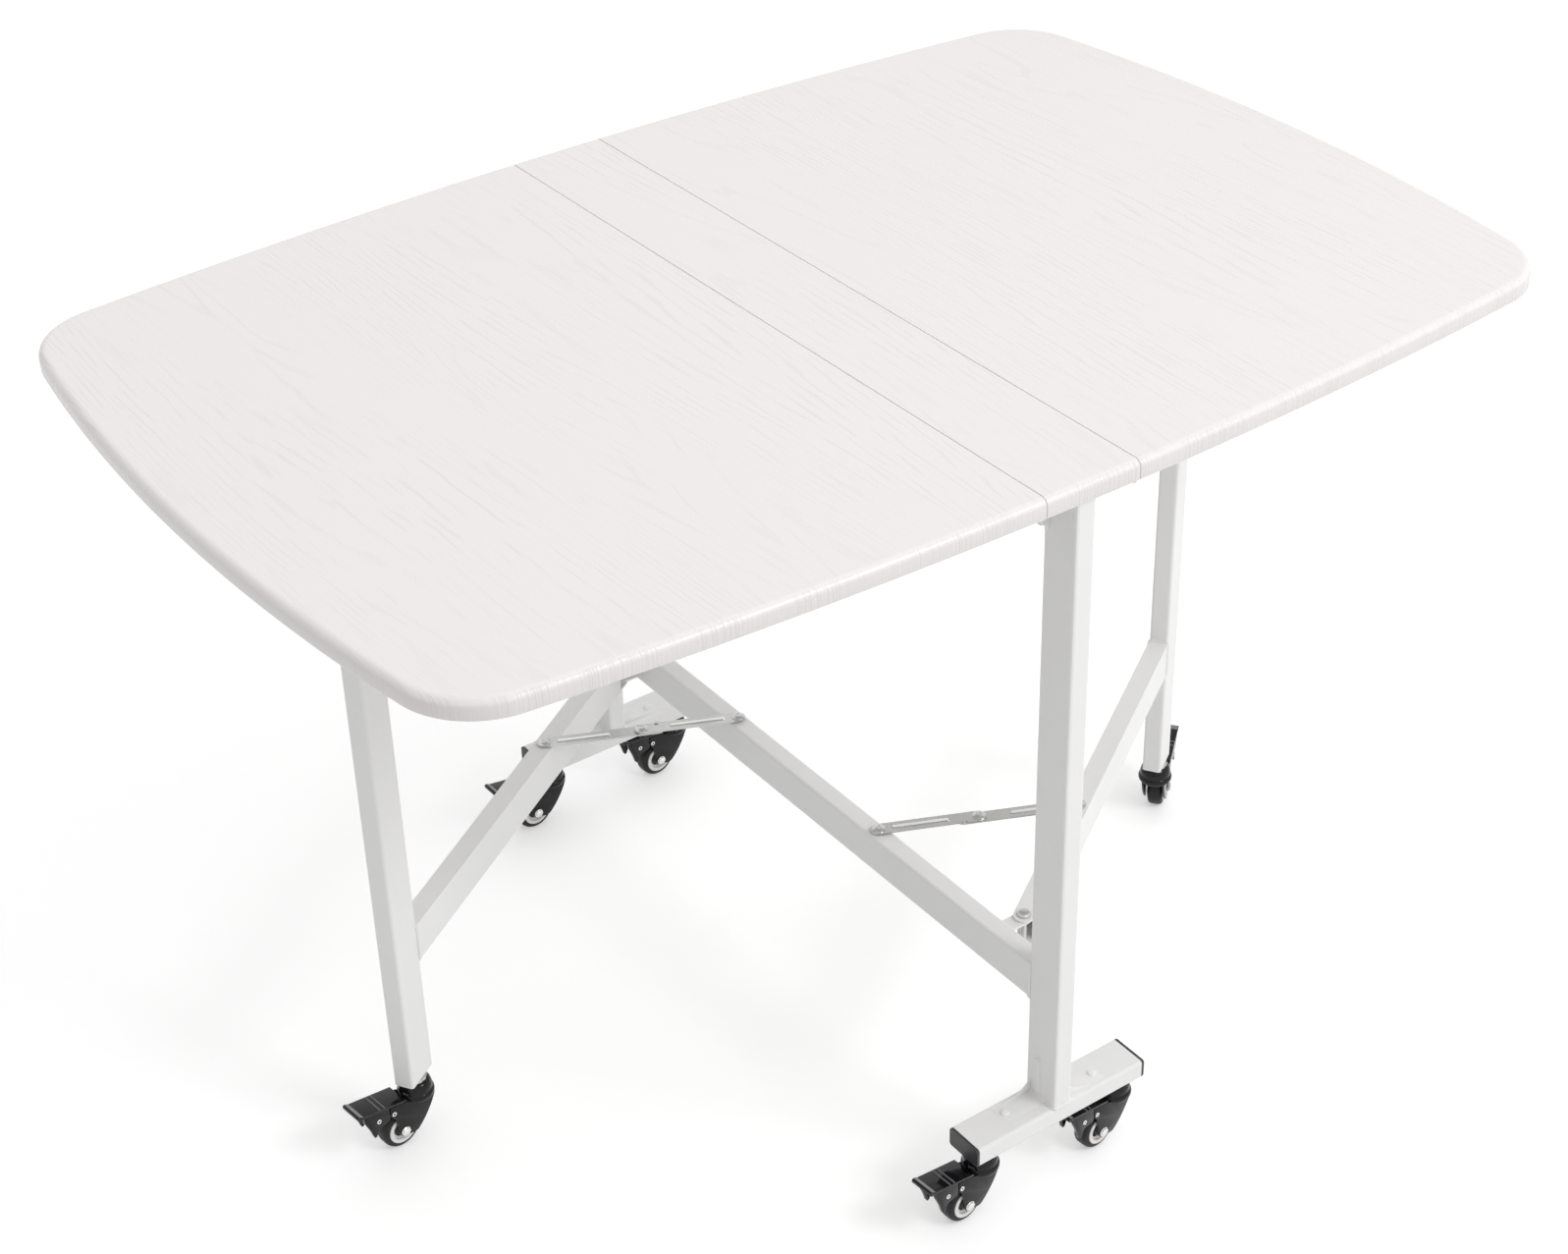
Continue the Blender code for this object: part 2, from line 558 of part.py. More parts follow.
def build_gate(side, spin):
    """One gate about its pivot, X from the pivot to the leg, with its pivot bolt and stay."""
    pivot = spin @ turned(-GATE_PIVOT_X, GATE_PIVOT_Y, math.pi + GATE_ANGLE)
    rail_end = GATE_LENGTH - HALF_WIDE - FIT_GAP
    outline = ([(rail_end, -HALF_NARROW), (rail_end, HALF_NARROW)]
               + arc((0, 0), HALF_NARROW, math.pi / 2, 1.5 * math.pi, 10))
    rail = place(f"gate_rail_{side}", prism(outline, LOWER_RAIL_BOTTOM, LOWER_RAIL_TOP), "white_paint", pivot)
    low, high = LOWER_RAIL_BOTTOM + TONGUE_THICK, LOWER_RAIL_TOP - TONGUE_THICK
    inside = HALF_NARROW - TUBE_WALL
    cut(rail, box((-TUBE_WIDE, -inside, low), (rail_end + FIT_GAP, inside, high)), f"gate_rail_{side}_bore")
    cut(rail, box((-TUBE_WIDE, -TUBE_WIDE, low), (TONGUE_WINDOW, TUBE_WIDE, high)), f"gate_rail_{side}_window")
    bolt_hole = cylinder(PIVOT_BOLT + RUNNING_GAP, LOWER_RAIL_BOTTOM - FIT_GAP, LOWER_RAIL_TOP + FIT_GAP)
    cut(rail, bolt_hole, f"gate_rail_{side}_bolt_hole")
    place(f"pivot_bolt_{side}", pivot_bolt_mesh(), "zinc", pivot)

    tube_top = LEG_TOP - PLUG_CAP - FIT_GAP
    profile = rounded_rectangle(HALF_WIDE, HALF_NARROW, TUBE_CORNER)
    leg_mesh = prism(profile, CASTER_HEIGHT, tube_top)
    leg_mesh.transform(Matrix.Translation((GATE_LENGTH, 0, 0)))
    leg = place(f"gate_leg_{side}", leg_mesh, "white_paint", pivot)
    bore = prism(rounded_rectangle(HALF_WIDE - TUBE_WALL, HALF_NARROW - TUBE_WALL, TUBE_CORNER - TUBE_WALL),
                 CASTER_HEIGHT + LEG_FLOOR, tube_top + TUBE_WALL)
    bore.transform(Matrix.Translation((GATE_LENGTH, 0, 0)))
    cut(leg, bore, f"gate_leg_{side}_bore")
    stem_hole = cylinder(STEM_RADIUS + RUNNING_GAP, CASTER_HEIGHT - FIT_GAP, CASTER_HEIGHT + 2 * LEG_FLOOR,
                         (GATE_LENGTH, 0))
    cut(leg, stem_hole, f"gate_leg_{side}_stem_hole")

    fit = TUBE_WALL + FIT_GAP
    insert = prism(rounded_rectangle(HALF_WIDE - fit, HALF_NARROW - fit, TUBE_CORNER - TUBE_WALL),
                   tube_top - PLUG_INSERT, LEG_TOP - PLUG_CAP / 2)
    plug = fuse([prism(profile, LEG_TOP - PLUG_CAP, LEG_TOP), insert])
    plug.transform(Matrix.Translation((GATE_LENGTH, 0, 0)))
    place(f"leg_plug_{side}", plug, "black_plastic", pivot)
    build_stay(side, spin)


def stay_places():
    """Anchor, knee and grip of the left stay with its gate open, in plan."""
    anchor = Vector((0.0, STAY_ANCHOR_Y))
    pivot = Vector((-GATE_PIVOT_X, GATE_PIVOT_Y))
    grip = pivot - Vector((math.cos(GATE_ANGLE), math.sin(GATE_ANGLE))) * STAY_GRIP
    return anchor, (anchor + grip) / 2, grip


def folded_stay_angle(length):
    """Angle left between the two links of a stay while its gate is closed."""
    closed_grip = Vector((-GATE_PIVOT_X, GATE_PIVOT_Y - STAY_GRIP))
    reach = (closed_grip - Vector((0.0, STAY_ANCHOR_Y))).length
    return 2 * math.asin(reach / (2 * length))


def build_stay(side, spin):
    """Two flat links, straight while the gate is open. The fixed link lies over the other one."""
    anchor, knee, grip = stay_places()
    angle = math.atan2(knee.y - anchor.y, knee.x - anchor.x)
    length = (knee - anchor).length
    a_low, a_high = STAY_A_Z, STAY_A_Z + STAY_THICK
    b_low, b_high = STAY_B_Z, STAY_B_Z + STAY_THICK
    sink = STAY_THICK / 2
    stop = (-STAY_STOP_REACH, -STAY_STOP_SIDE)

    def rib(start, end, top):
        return prism(stadium(start, end, STAY_RIB_HALF, 5), top - sink / 2, top + STAY_RIB_RISE)

    strip = prism(stadium(0.0, length, STAY_HALF_WIDTH), a_low, a_high)
    spacer = cylinder(STAY_HEAD_RADIUS, b_low, a_low + sink, sides=12)
    knee_pin = cylinder(STAY_PIN, b_low, a_low + sink, (length, 0), 12)
    heads = [dome(STAY_HEAD_RADIUS, STAY_HEAD_RISE + sink / 2, a_high - sink / 2, (x, 0), 12) for x in (0.0, length)]
    margin = 2 * STAY_HALF_WIDTH
    fixed = fuse([strip, spacer, knee_pin, rib(margin, length - STAY_STOP_REACH - margin, a_high)] + heads,
                 [cylinder(STAY_STOP + FIT_GAP * 2, a_low - sink, a_high + STAY_HEAD_RISE,
                           (length + stop[0], stop[1]), 12)])
    place(f"stay_{side}_fixed_link", fixed, "zinc", spin @ turned(anchor.x, anchor.y, angle))

    strip = prism(stadium(-STAY_STOP_REACH, length, STAY_HALF_WIDTH), b_low, b_high)
    head = dome(STAY_HEAD_RADIUS, STAY_HEAD_RISE + sink / 2, b_high - sink / 2, (length, 0), 12)
    stop_pin = cylinder(STAY_STOP, b_low + sink, a_high + STAY_HEAD_RISE / 2, stop, 12)
    hole = cylinder(STAY_PIN + RUNNING_GAP, b_low - sink, b_high + sink, sides=12)
    rib_start = (STAY_HALF_WIDTH + STAY_RIB_HALF + FIT_GAP) / math.sin(folded_stay_angle(length))
    moving = fuse([strip, head, stop_pin, rib(rib_start, length - margin, b_high)], [hole])
    place(f"stay_{side}_moving_link", moving, "zinc", spin @ turned(knee.x, knee.y, angle))


def mount_mesh():
    """Caster stem with its collar, fixed to the tube above."""
    low = CUP_TOP + FIT_GAP
    high = low + COLLAR_HEIGHT
    return lathe([(0, CUP_TOP - STEM_DEPTH + FIT_GAP), (STEM_RADIUS, CUP_TOP - STEM_DEPTH + FIT_GAP), (STEM_RADIUS, low),
                  (COLLAR_RADIUS, low), (COLLAR_RADIUS, high), (STEM_RADIUS, high),
                  (STEM_RADIUS, high + STEM_RISE), (0, high + STEM_RISE)], 12)


def pedal_top(x):
    """Height of the pedal plate's upper face above its pivot."""
    return PEDAL_LIP_TOP - LIP_RISE - (PEDAL_REACH - x) * math.tan(math.radians(PEDAL_TILT))


def fork_mesh():
    """Swivel cup, two side plates, axle with nuts, and the pedal's pin, as one stamped and riveted piece."""
    hole = STEM_RADIUS + RUNNING_GAP
    rim = CUP_BOTTOM + CUP_HEIGHT * 0.34
    cup = lathe([(0, CUP_BOTTOM), (CUP_RADIUS * 0.94, CUP_BOTTOM), (CUP_RADIUS, CUP_BOTTOM + CUP_HEIGHT * 0.10),
                 (CUP_RADIUS, rim), (CUP_RADIUS * 0.88, rim + CUP_HEIGHT * 0.12),
                 (CUP_RADIUS * 0.86, rim + CUP_HEIGHT * 0.34), (CUP_RADIUS * 0.78, CUP_TOP - CUP_HEIGHT * 0.08),
                 (CUP_RADIUS * 0.64, CUP_TOP), (hole, CUP_TOP), (hole, CUP_TOP - STEM_DEPTH),
                 (0, CUP_TOP - STEM_DEPTH)], 16)
    eye = AXLE_NUT_RADIUS + RIVET_RISE
    chord = math.sqrt(CUP_RADIUS ** 2 - FORK_OUTER ** 2)
    plate_top = CUP_BOTTOM + CUP_HEIGHT * 0.22
    pin_rear = PEDAL_BARREL + RIVET_RISE
    pin_front = CUP_RADIUS + PEDAL_CUP_GAP - PEDAL_PIVOT_X

    def shoulder(x):
        return PEDAL_PIVOT_X + x, PEDAL_PIVOT_Z + pedal_top(x) - PEDAL_THICK - PEDAL_FORK_GAP

    outline = ([(-chord, plate_top), (-chord, CUP_BOTTOM)]
               + arc((AXLE_TRAIL, WHEEL_RADIUS), FORK_COVER, math.radians(185), math.radians(212), 3)
               + arc((AXLE_TRAIL, WHEEL_RADIUS), eye, math.radians(258), math.radians(375), 6)
               + [(PEDAL_PIVOT_X, PEDAL_PIVOT_Z - 2 * PEDAL_BARREL),
                  (PEDAL_PIVOT_X + pin_rear, PEDAL_PIVOT_Z - PEDAL_BARREL), shoulder(pin_rear), shoulder(pin_front),
                  (chord, plate_top)])
    meshes = [cup]
    for side in (-1, 1):
        inner, outer = sorted((side * FORK_INNER, side * FORK_OUTER))
        meshes.append(prism(outline, inner, outer, "xz"))
    nut_end = FORK_OUTER + AXLE_NUT_RISE
    meshes.append(lathe([(0, -nut_end), (AXLE_NUT_RADIUS, -nut_end), (AXLE_NUT_RADIUS, -FORK_OUTER + FIT_GAP),
                         (AXLE_RADIUS, -FORK_OUTER + FIT_GAP), (AXLE_RADIUS, FORK_OUTER - FIT_GAP),
                         (AXLE_NUT_RADIUS, FORK_OUTER - FIT_GAP), (AXLE_NUT_RADIUS, nut_end), (0, nut_end)], 12, "y"))
    meshes[-1].transform(Matrix.Translation((AXLE_TRAIL, 0, WHEEL_RADIUS)))
    rivet_end = FORK_OUTER + RIVET_RISE
    meshes.append(lathe([(0, -rivet_end), (RIVET_RADIUS, -rivet_end), (RIVET_RADIUS, -FORK_OUTER + FIT_GAP),
                         (PEDAL_PIN, -FORK_OUTER + FIT_GAP), (PEDAL_PIN, FORK_OUTER - FIT_GAP),
                         (RIVET_RADIUS, FORK_OUTER - FIT_GAP), (RIVET_RADIUS, rivet_end), (0, rivet_end)], 8, "y"))
    meshes[-1].transform(Matrix.Translation((PEDAL_PIVOT_X, 0, PEDAL_PIVOT_Z)))
    return fuse(meshes)


def wheel_mesh():
    """Tyre, hub ring and dished web, turned about its own axle."""
    half = WHEEL_WIDTH / 2
    bore = AXLE_RADIUS + RUNNING_GAP
    one_side = [(bore, half), (AXLE_NUT_RADIUS * 1.2, half), (AXLE_NUT_RADIUS * 1.3, half * 0.62),
                (HUB_RING * 0.78, half * 0.62), (HUB_RING * 0.82, half * 0.97), (HUB_RING, half * 0.97),
                (HUB_RING * 1.02, half * 0.86), (WHEEL_RADIUS * 0.93, half * 0.84), (WHEEL_RADIUS, half * 0.56)]
    return lathe(one_side + [(r, -w) for r, w in reversed(one_side)], 16, "y", closed=True)


def pedal_mesh():
    """Brake pedal about its pivot: ridged plate with a turned-up lip, block with shoe, and two toothed cheeks."""
    front = CUP_RADIUS + PEDAL_CUP_GAP - PEDAL_PIVOT_X
    ridge = PEDAL_THICK * 0.35

    def under(x):
        return pedal_top(x) - PEDAL_THICK

    lip_end = PEDAL_REACH + LIP_LENGTH
    tread = [(front, under(front)), (PEDAL_REACH, under(PEDAL_REACH)), (lip_end, under(PEDAL_REACH)),
             (lip_end, PEDAL_LIP_TOP - LIP_RISE * 0.3), (lip_end - LIP_LENGTH * 0.4, PEDAL_LIP_TOP),
             (PEDAL_REACH, pedal_top(PEDAL_REACH))]
    for start in (PEDAL_REACH * 0.42, PEDAL_REACH * 0.26):
        tread += [(start + 2 * ridge, pedal_top(start + 2 * ridge)), (start + 1.4 * ridge, pedal_top(start) + ridge),
                  (start + 0.6 * ridge, pedal_top(start) + ridge), (start, pedal_top(start))]
    tread += [(front, pedal_top(front))]
    meshes = [prism(tread, -PEDAL_HALF_WIDTH, PEDAL_HALF_WIDTH, "xz")]

    block_half = FORK_INNER - CHEEK_INSET
    shoe = PEDAL_BARREL * 2.4
    block = (arc((0, 0), PEDAL_BARREL, math.pi, 1.75 * math.pi, 6)
             + [(shoe, -PEDAL_BARREL * 0.8), (shoe + PEDAL_BARREL, 0.0),
                (shoe + PEDAL_BARREL, under(shoe + PEDAL_BARREL) + PEDAL_THICK / 2),
                (-PEDAL_BARREL, under(-PEDAL_BARREL) + PEDAL_THICK / 2)])
    meshes.append(prism(block, -block_half, block_half, "xz"))

    start = PEDAL_BARREL + RIVET_RISE + 2 * CHEEK_INSET
    cheek = [(start, under(start) + PEDAL_THICK / 2), (start, -PEDAL_BARREL * 1.5), TOOTH_ROOT,
             (TOOTH_TIP[0] - TOOTH_BLUNT, TOOTH_TIP[1]), (TOOTH_TIP[0] + TOOTH_BLUNT, TOOTH_TIP[1]),
             TOOTH_BACK, (CHEEK_REACH, CHEEK_HEEL), (CHEEK_REACH, under(PEDAL_REACH) + PEDAL_THICK / 2)]
    rivet_at = (CHEEK_RIVET_BACK, CHEEK_RIVET_UP)
    for side in (-1, 1):
        low, high = sorted((side * (block_half - CHEEK_INSET), side * FORK_OUTER))
        meshes.append(prism(cheek, low, high, "xz"))
        rivet = sorted((side * (FORK_OUTER - CHEEK_INSET), side * (FORK_OUTER + RIVET_RISE)))
        meshes.append(cylinder(RIVET_RADIUS, rivet[0], rivet[1], rivet_at, 8, "y"))
    pin_hole = cylinder(PEDAL_PIN + RUNNING_GAP, -PEDAL_HALF_WIDTH, PEDAL_HALF_WIDTH, (0, 0), 8, "y")
    return fuse(meshes, [pin_hole])


def build_casters():
    stems = {"near_left": (-FOOT_CASTER_X, -POST_Y), "near_right": (FOOT_CASTER_X, -POST_Y),
             "far_left": (-FOOT_CASTER_X, POST_Y), "far_right": (FOOT_CASTER_X, POST_Y),
             "gate_left": (-GATE_SPREAD, GATE_LEG_Y), "gate_right": (GATE_SPREAD, -GATE_LEG_Y)}
    mount, fork, wheel, pedal = mount_mesh(), fork_mesh(), wheel_mesh(), pedal_mesh()
    for name, (x, y) in stems.items():
        stem = turned(x, y, math.radians(CASTER_YAW[name]))
        place(f"caster_{name}_mount", mount.copy(), "zinc", stem)
        place(f"caster_{name}_fork", fork.copy(), "black_paint", stem)
        place(f"caster_{name}_wheel", wheel.copy(), "black_rubber",
              stem @ Matrix.Translation((AXLE_TRAIL, 0, WHEEL_RADIUS)))
        place(f"caster_{name}_pedal", pedal.copy(), "black_paint",
              stem @ Matrix.Translation((PEDAL_PIVOT_X, 0, PEDAL_PIVOT_Z)))


clear_scene()
PARTS = new_collection("parts")
CUTTERS = new_collection("cutters")
build_top()
build_frame()
build_gate("left", Matrix.Identity(4))
build_gate("right", Matrix.Rotation(math.pi, 4, 'Z'))
build_casters()
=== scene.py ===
"""Folding dining table, dressed: film-covered top, painted tube frame, zinc stays, black braked casters."""

import json
import math

import bmesh
import bpy
from mathutils import Matrix, Vector

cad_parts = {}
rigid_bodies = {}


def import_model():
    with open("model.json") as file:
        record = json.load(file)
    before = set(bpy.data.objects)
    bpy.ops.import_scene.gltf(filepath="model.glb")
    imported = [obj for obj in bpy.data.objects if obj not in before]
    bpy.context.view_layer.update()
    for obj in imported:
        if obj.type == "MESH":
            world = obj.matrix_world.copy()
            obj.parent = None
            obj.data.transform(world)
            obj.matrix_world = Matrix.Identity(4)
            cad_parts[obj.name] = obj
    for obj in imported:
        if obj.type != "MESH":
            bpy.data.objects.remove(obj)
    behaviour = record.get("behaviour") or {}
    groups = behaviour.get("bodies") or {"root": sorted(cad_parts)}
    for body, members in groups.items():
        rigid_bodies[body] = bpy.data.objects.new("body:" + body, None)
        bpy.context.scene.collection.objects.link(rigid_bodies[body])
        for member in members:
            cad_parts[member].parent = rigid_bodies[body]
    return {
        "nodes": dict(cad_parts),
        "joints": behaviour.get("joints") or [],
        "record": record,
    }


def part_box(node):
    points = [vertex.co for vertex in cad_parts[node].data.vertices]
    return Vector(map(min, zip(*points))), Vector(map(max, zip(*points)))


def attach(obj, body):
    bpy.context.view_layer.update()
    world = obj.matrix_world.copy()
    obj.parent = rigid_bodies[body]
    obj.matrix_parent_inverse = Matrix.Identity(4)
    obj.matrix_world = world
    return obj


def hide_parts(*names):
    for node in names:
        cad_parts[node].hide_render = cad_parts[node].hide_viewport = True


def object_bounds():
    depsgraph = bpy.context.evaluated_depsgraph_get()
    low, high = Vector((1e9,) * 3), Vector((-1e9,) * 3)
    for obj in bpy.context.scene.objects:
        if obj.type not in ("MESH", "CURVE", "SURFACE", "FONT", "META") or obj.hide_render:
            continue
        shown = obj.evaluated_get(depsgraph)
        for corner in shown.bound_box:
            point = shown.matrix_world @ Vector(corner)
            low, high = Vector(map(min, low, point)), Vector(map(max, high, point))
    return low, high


# Blender's starting objects go before the frame comes in
for stray in list(bpy.data.objects):
    bpy.data.objects.remove(stray, do_unlink=True)
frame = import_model()
CAD_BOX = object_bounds()
JOINTS = {joint["name"]: joint for joint in frame["joints"]}
SLOT_OF = {part["node"]: part["material_slot"] for part in frame["record"]["subparts"]}
CASTERS = [name[len("caster_"):-len("_swivel_joint")] for name in JOINTS if name.endswith("_swivel_joint")]

# Sizes are in metres unless a comment says otherwise

# Camera and light
CAMERA_PLACE = (-1.3172, -1.8475, 1.9206)
CAMERA_AZIMUTH = -35.035          # degrees from the long side's normal
CAMERA_ELEVATION = 33.625         # degrees
CAMERA_ROLL = -0.0275             # radians
FOCAL_PIXELS = 2929.3
IMAGE_WIDTH = 1597                # pixels
SENSOR_WIDTH = 36.0               # millimetres
WORLD_LIGHT = 0.82                # strength of the sky straight above
WORLD_SLOPE = (0.33, -0.10, 0.0)  # the sky is brighter to the right and to the front
FLOOR_HALF = 30.0
FLOOR_LIFT = 0.33                 # glow of the floor where the camera, metal or glass shows it
FLOOR_COLOURS = ((0.83, 0.83, 0.83), (0.81, 0.81, 0.81))
LAMPS = (
    # name, place, what it is aimed at, width and length, watts
    ("overhead", (0.2, 0.3, 3.4), (0.0, 0.0, 0.7), (3.0, 2.4), 6.0),
    ("front", (1.3, -3.0, 3.1), (0.0, 0.0, 0.3), (1.4, 1.0), 42.0),
)

# Meshes
MERGE = 1e-6                      # points closer than this are one point
SHARP_ANGLE = math.radians(42)    # edges that turn by more are shaded sharp
TURNED_SIDES = 64                 # facets round a wheel or a cup
HUB_SIDES = 48
HEAD_SIDES = 32
RIVET_SIDES = 24
SMALL_SIDES = 20
HEXAGON = 6

# Top
END_BOW = 0.040
SIDE_BOW = 0.037
CORNER_RADIUS = 0.076
EDGE_ROUND = 0.0070
EDGE_EASE = 0.0012
SEAM_EASE = 0.0002
SEAM_CLOSER = 0.0001              # each board reaches this much further into its seam
FACE_INSET = 0.001                # a narrow ring of faces that keeps the shading of a broad face flat
SIDE_STEPS = 40
CORNER_STEPS = 24
END_STEPS = 20
STRIP_STEPS = 12
GRAIN_LINES = 128.0               # fine lines of the film to a metre
FILM_FACE = (0.830, 0.797, 0.790)
FILM_EDGE = (0.735, 0.708, 0.702)
FILM_GRAIN = (0.700, 0.672, 0.666)
PAPER_LIGHT = (0.77, 0.755, 0.735)
PAPER_DARK = (0.72, 0.705, 0.685)

# Casters, in the frame of one caster: X trails, Y along the axle, Z up, from the floor under the stem
WHEEL_HALF_WIDTH = 0.0088
TYRE_EASE = 0.0009
HUB_RING_OUTER = 0.0155
HUB_RING_INNER = 0.0116
HUB_RING_SEAT = 0.0006            # the tyre reaches this far into the ring
HUB_RING_CROWN = 0.0012
HUB_RING_EASE = 0.0003
HUB_STEP = 0.0088
HUB_BOSS = 0.0062
HUB_EASE = 0.0005
HUB_SLOPE = 0.0004                # lean of the hub's steps
DRAFT = 0.0002                    # lean of walls that are nearly upright
SPOKES = 6
SPOKE_THICK = 0.0016
SHAFT_RADIUS = 0.0029
SHAFT_BORE = 0.0031
CUP_RADIUS = 0.0180
CUP_HEIGHT = 0.0190
CUP_EASE = 0.0016
STEM_HOLE = 0.0041
STEM_HOLE_DEPTH = 0.010
FORK_INNER = 0.0102
FORK_OUTER = 0.0122
FORK_COVER = 0.0155
FORK_BULGE = 0.0026
TOE_ANGLE = math.radians(212)
TOE_ROUND = 0.0045
EYE_ANGLES = (math.radians(258), math.radians(375))
PLATE_EASE = 0.0022               # corners of the fork plates and cheeks, seen from the side
PRESSED_EDGE = 0.0006
EDGE_HIGHLIGHT = 0.0009                # width of the pale highlight painted along black edges
WASHER_THICK = 0.0006
WASHER_EASE = 0.0002
NUT_RADIUS = 0.0050
NUT_BASE = 0.0005
NUT_TOP = 0.0024
NUT_CHAMFER = 0.0004
THREAD_RADIUS = 0.0026
THREAD_BASE = 0.0022
THREAD_TOP = 0.0030
THREAD_DOME = 0.0006
THREAD_TIP = 0.0018
THREAD_EASE = 0.0004
RIVET_RADIUS = 0.0025
RIVET_HOLE = 0.0011
RIVET_RISE = 0.0008
RIVET_SINK = 0.0004
RIVET_EASE = 0.0003
PEDAL_THICK = 0.0022
PEDAL_TILT = math.radians(10.5)
PEDAL_REACH = 0.0335
PEDAL_HALF_WIDTH = 0.0128
PEDAL_CUP_GAP = 0.0022
PEDAL_FORK_GAP = 0.0014
PEDAL_BARREL = 0.0029
PEDAL_EASE = 0.0007
RIDGES = (PEDAL_REACH * 0.26, PEDAL_REACH * 0.42)
RIDGE_FOOT = (0.0, 0.0017)
RIDGE_CREST = (0.0014, 0.0003)
RIDGE_ROOT = 0.0010               # above the tread's underside
RIDGE_RISE = 0.0007
RIDGE_EASE = 0.0003
LIP_LENGTH = 0.0060
LIP_END = PEDAL_REACH + LIP_LENGTH
LIP_RISE = 0.0020
LIP_CLEARANCE = 0.0014
RUB_SHEEN_MIDDLE = 0.0008               # the grey strip on a ridge, rubbed paint and a painted highlight, from the ridge's start
RUB_SHEEN_FOOT = (0.0004, 0.0013)
RUB_SHEEN_CREST = (0.0012, 0.0005)
RUB_SHEEN_LEVELS = (0.0005, 0.00085)
RUB_SHEEN_EASE = 0.00015
CHEEK_REACH = 0.0330
CHEEK_INNER = 0.0088
CHEEK_START = 0.0051
CHEEK_HEEL = 0.0090
CHEEK_RIVET = (0.0174, 0.0018)
TOOTH_ROOT = (0.0180, -0.0062)
TOOTH_TIP = (0.0228, -0.0148)
TOOTH_BLUNT = 0.0013
TOOTH_BACK = (0.0270, -0.0050)

# Small fixings
BEAD_RADIUS = 0.0017
BEAD_STEP = 0.0011
BEAD_SIDES = 8
BEAD_RIPPLES = ((0.16, 2.1), (0.08, 0.7))  # share of the radius, and turn from ring to ring
TUBE_CORNER = 0.0025
CLEAT_REACH = 0.0095
CLEAT_RISE = 0.0365
CLEAT_SPAN = (0.001, 0.007)       # behind the post's inner face
CLEAT_EASE = 0.0004
BRACKET_RISE = 0.050
BRACKET_RUN = 0.046
BRACKET_SPAN = (-0.0145, 0.0070)
BRACKET_FEATHER = 0.0035
BRACKET_RIM = 0.0001
BRACKET_THICK = 0.0008
BRACKET_FILLET = 0.004
BRACKET_EASE = 0.0005
WEB_RUN = 0.034
WEB_RISE = 0.019
WEB_THICK = 0.0012
WEB_STEPS = 16
RIB_HALF = 0.0035
RIB_RISE = 0.0016
RIB_FROM_FOOT = 0.009
BOLT_RADIUS = 0.0045
BOLT_RISE = 0.0022
BOLT_EASE = 0.0008
STAY_STEP = 0.0018                # moving link below the fixed one
STAY_WASHER = 0.0066
STAY_WASHER_THICK = 0.0008
STAY_HEAD = 0.0057
STAY_HEAD_FOOT = 0.0009
STAY_HEAD_RISE = 0.0018
STAY_HEAD_EASE = 0.0003
STAY_DOME = 0.0044
STAY_BRIM = (0.0017, 0.0032)
STAY_BRIM_RISE = 0.0006           # the brim round the dimple, above the head
STAY_DIMPLE = 0.0013
STAY_DIMPLE_RISE = 0.0001
FIXED_GROOVE = (0.0152, 0.0670)   # along each link, from its own pivot
MOVING_GROOVE = (0.0332, 0.0830)
GROOVE_HALF = 0.0018
GROOVE_ROOT = 0.0003
GROOVE_RISE = 0.00075
GROOVE_EASE = 0.0003
HINGE_PLATE = 0.018
HINGE_PLATE_THICK = 0.0012
SCREW_RADIUS = 0.0032
SCREW_RISE = 0.0009
SCREW_SOCKET = (0.0009, 0.0012)
SCREW_EASE = 0.0002
SCREW_PITCH = 0.118
SCREWS_EACH_WAY = 3               # from the middle screw of a row


class Nodes:
    """Short calls that build one node tree."""

    def __init__(self, tree):
        self.tree = tree

    def set(self, node, socket, value):
        if isinstance(value, bpy.types.NodeSocket):
            self.tree.links.new(value, node.inputs[socket])
        else:
            node.inputs[socket].default_value = value

    def add(self, kind, inputs=None, **settings):
        node = self.tree.nodes.new(kind)
        for key, value in settings.items():
            setattr(node, key, value)
        for socket, value in (inputs or {}).items():
            self.set(node, socket, value)
        return node

    def place(self, what="Object"):
        return self.add("ShaderNodeTexCoord").outputs[what]

    def noise(self, cells, shift=(0.0, 0.0, 0.0), detail=2.0, roughness=0.5, distortion=0.0):
        """Noise with so many cells to a metre along each axis of the object."""
        spot = self.add("ShaderNodeMapping", {"Vector": self.place(), "Scale": cells, "Location": shift})
        node = self.add("ShaderNodeTexNoise", {"Vector": spot.outputs[0], "Scale": 1.0, "Detail": detail,
                                               "Roughness": roughness, "Distortion": distortion})
        return node.outputs["Fac"]

    def maths(self, operation, a, b=0.0):
        return self.add("ShaderNodeMath", {0: a, 1: b}, operation=operation).outputs[0]

    def times(self, a, b):
        return self.maths('MULTIPLY', a, b)

    def plus(self, a, b):
        return self.maths('ADD', a, b)

    def rest(self, share):
        """What a share leaves of one."""
        return self.maths('SUBTRACT', 1.0, share)

    def ramp(self, value, low, high, to_low=0.0, to_high=1.0, smooth=True):
        kind = 'SMOOTHSTEP' if smooth else 'LINEAR'
        limits = {"Value": value, "From Min": low, "From Max": high, "To Min": to_low, "To Max": to_high}
        return self.add("ShaderNodeMapRange", limits, interpolation_type=kind).outputs[0]

    def blend(self, factor, first, second):
        """Mix two colours, each a socket or three numbers. A Mix node's colours are its inputs 6 and 7."""
        node = self.add("ShaderNodeMix", {0: factor}, data_type='RGBA')
        for socket, value in ((6, first), (7, second)):
            self.set(node, socket, value if isinstance(value, bpy.types.NodeSocket) else (*value, 1.0))
        return node.outputs[2]


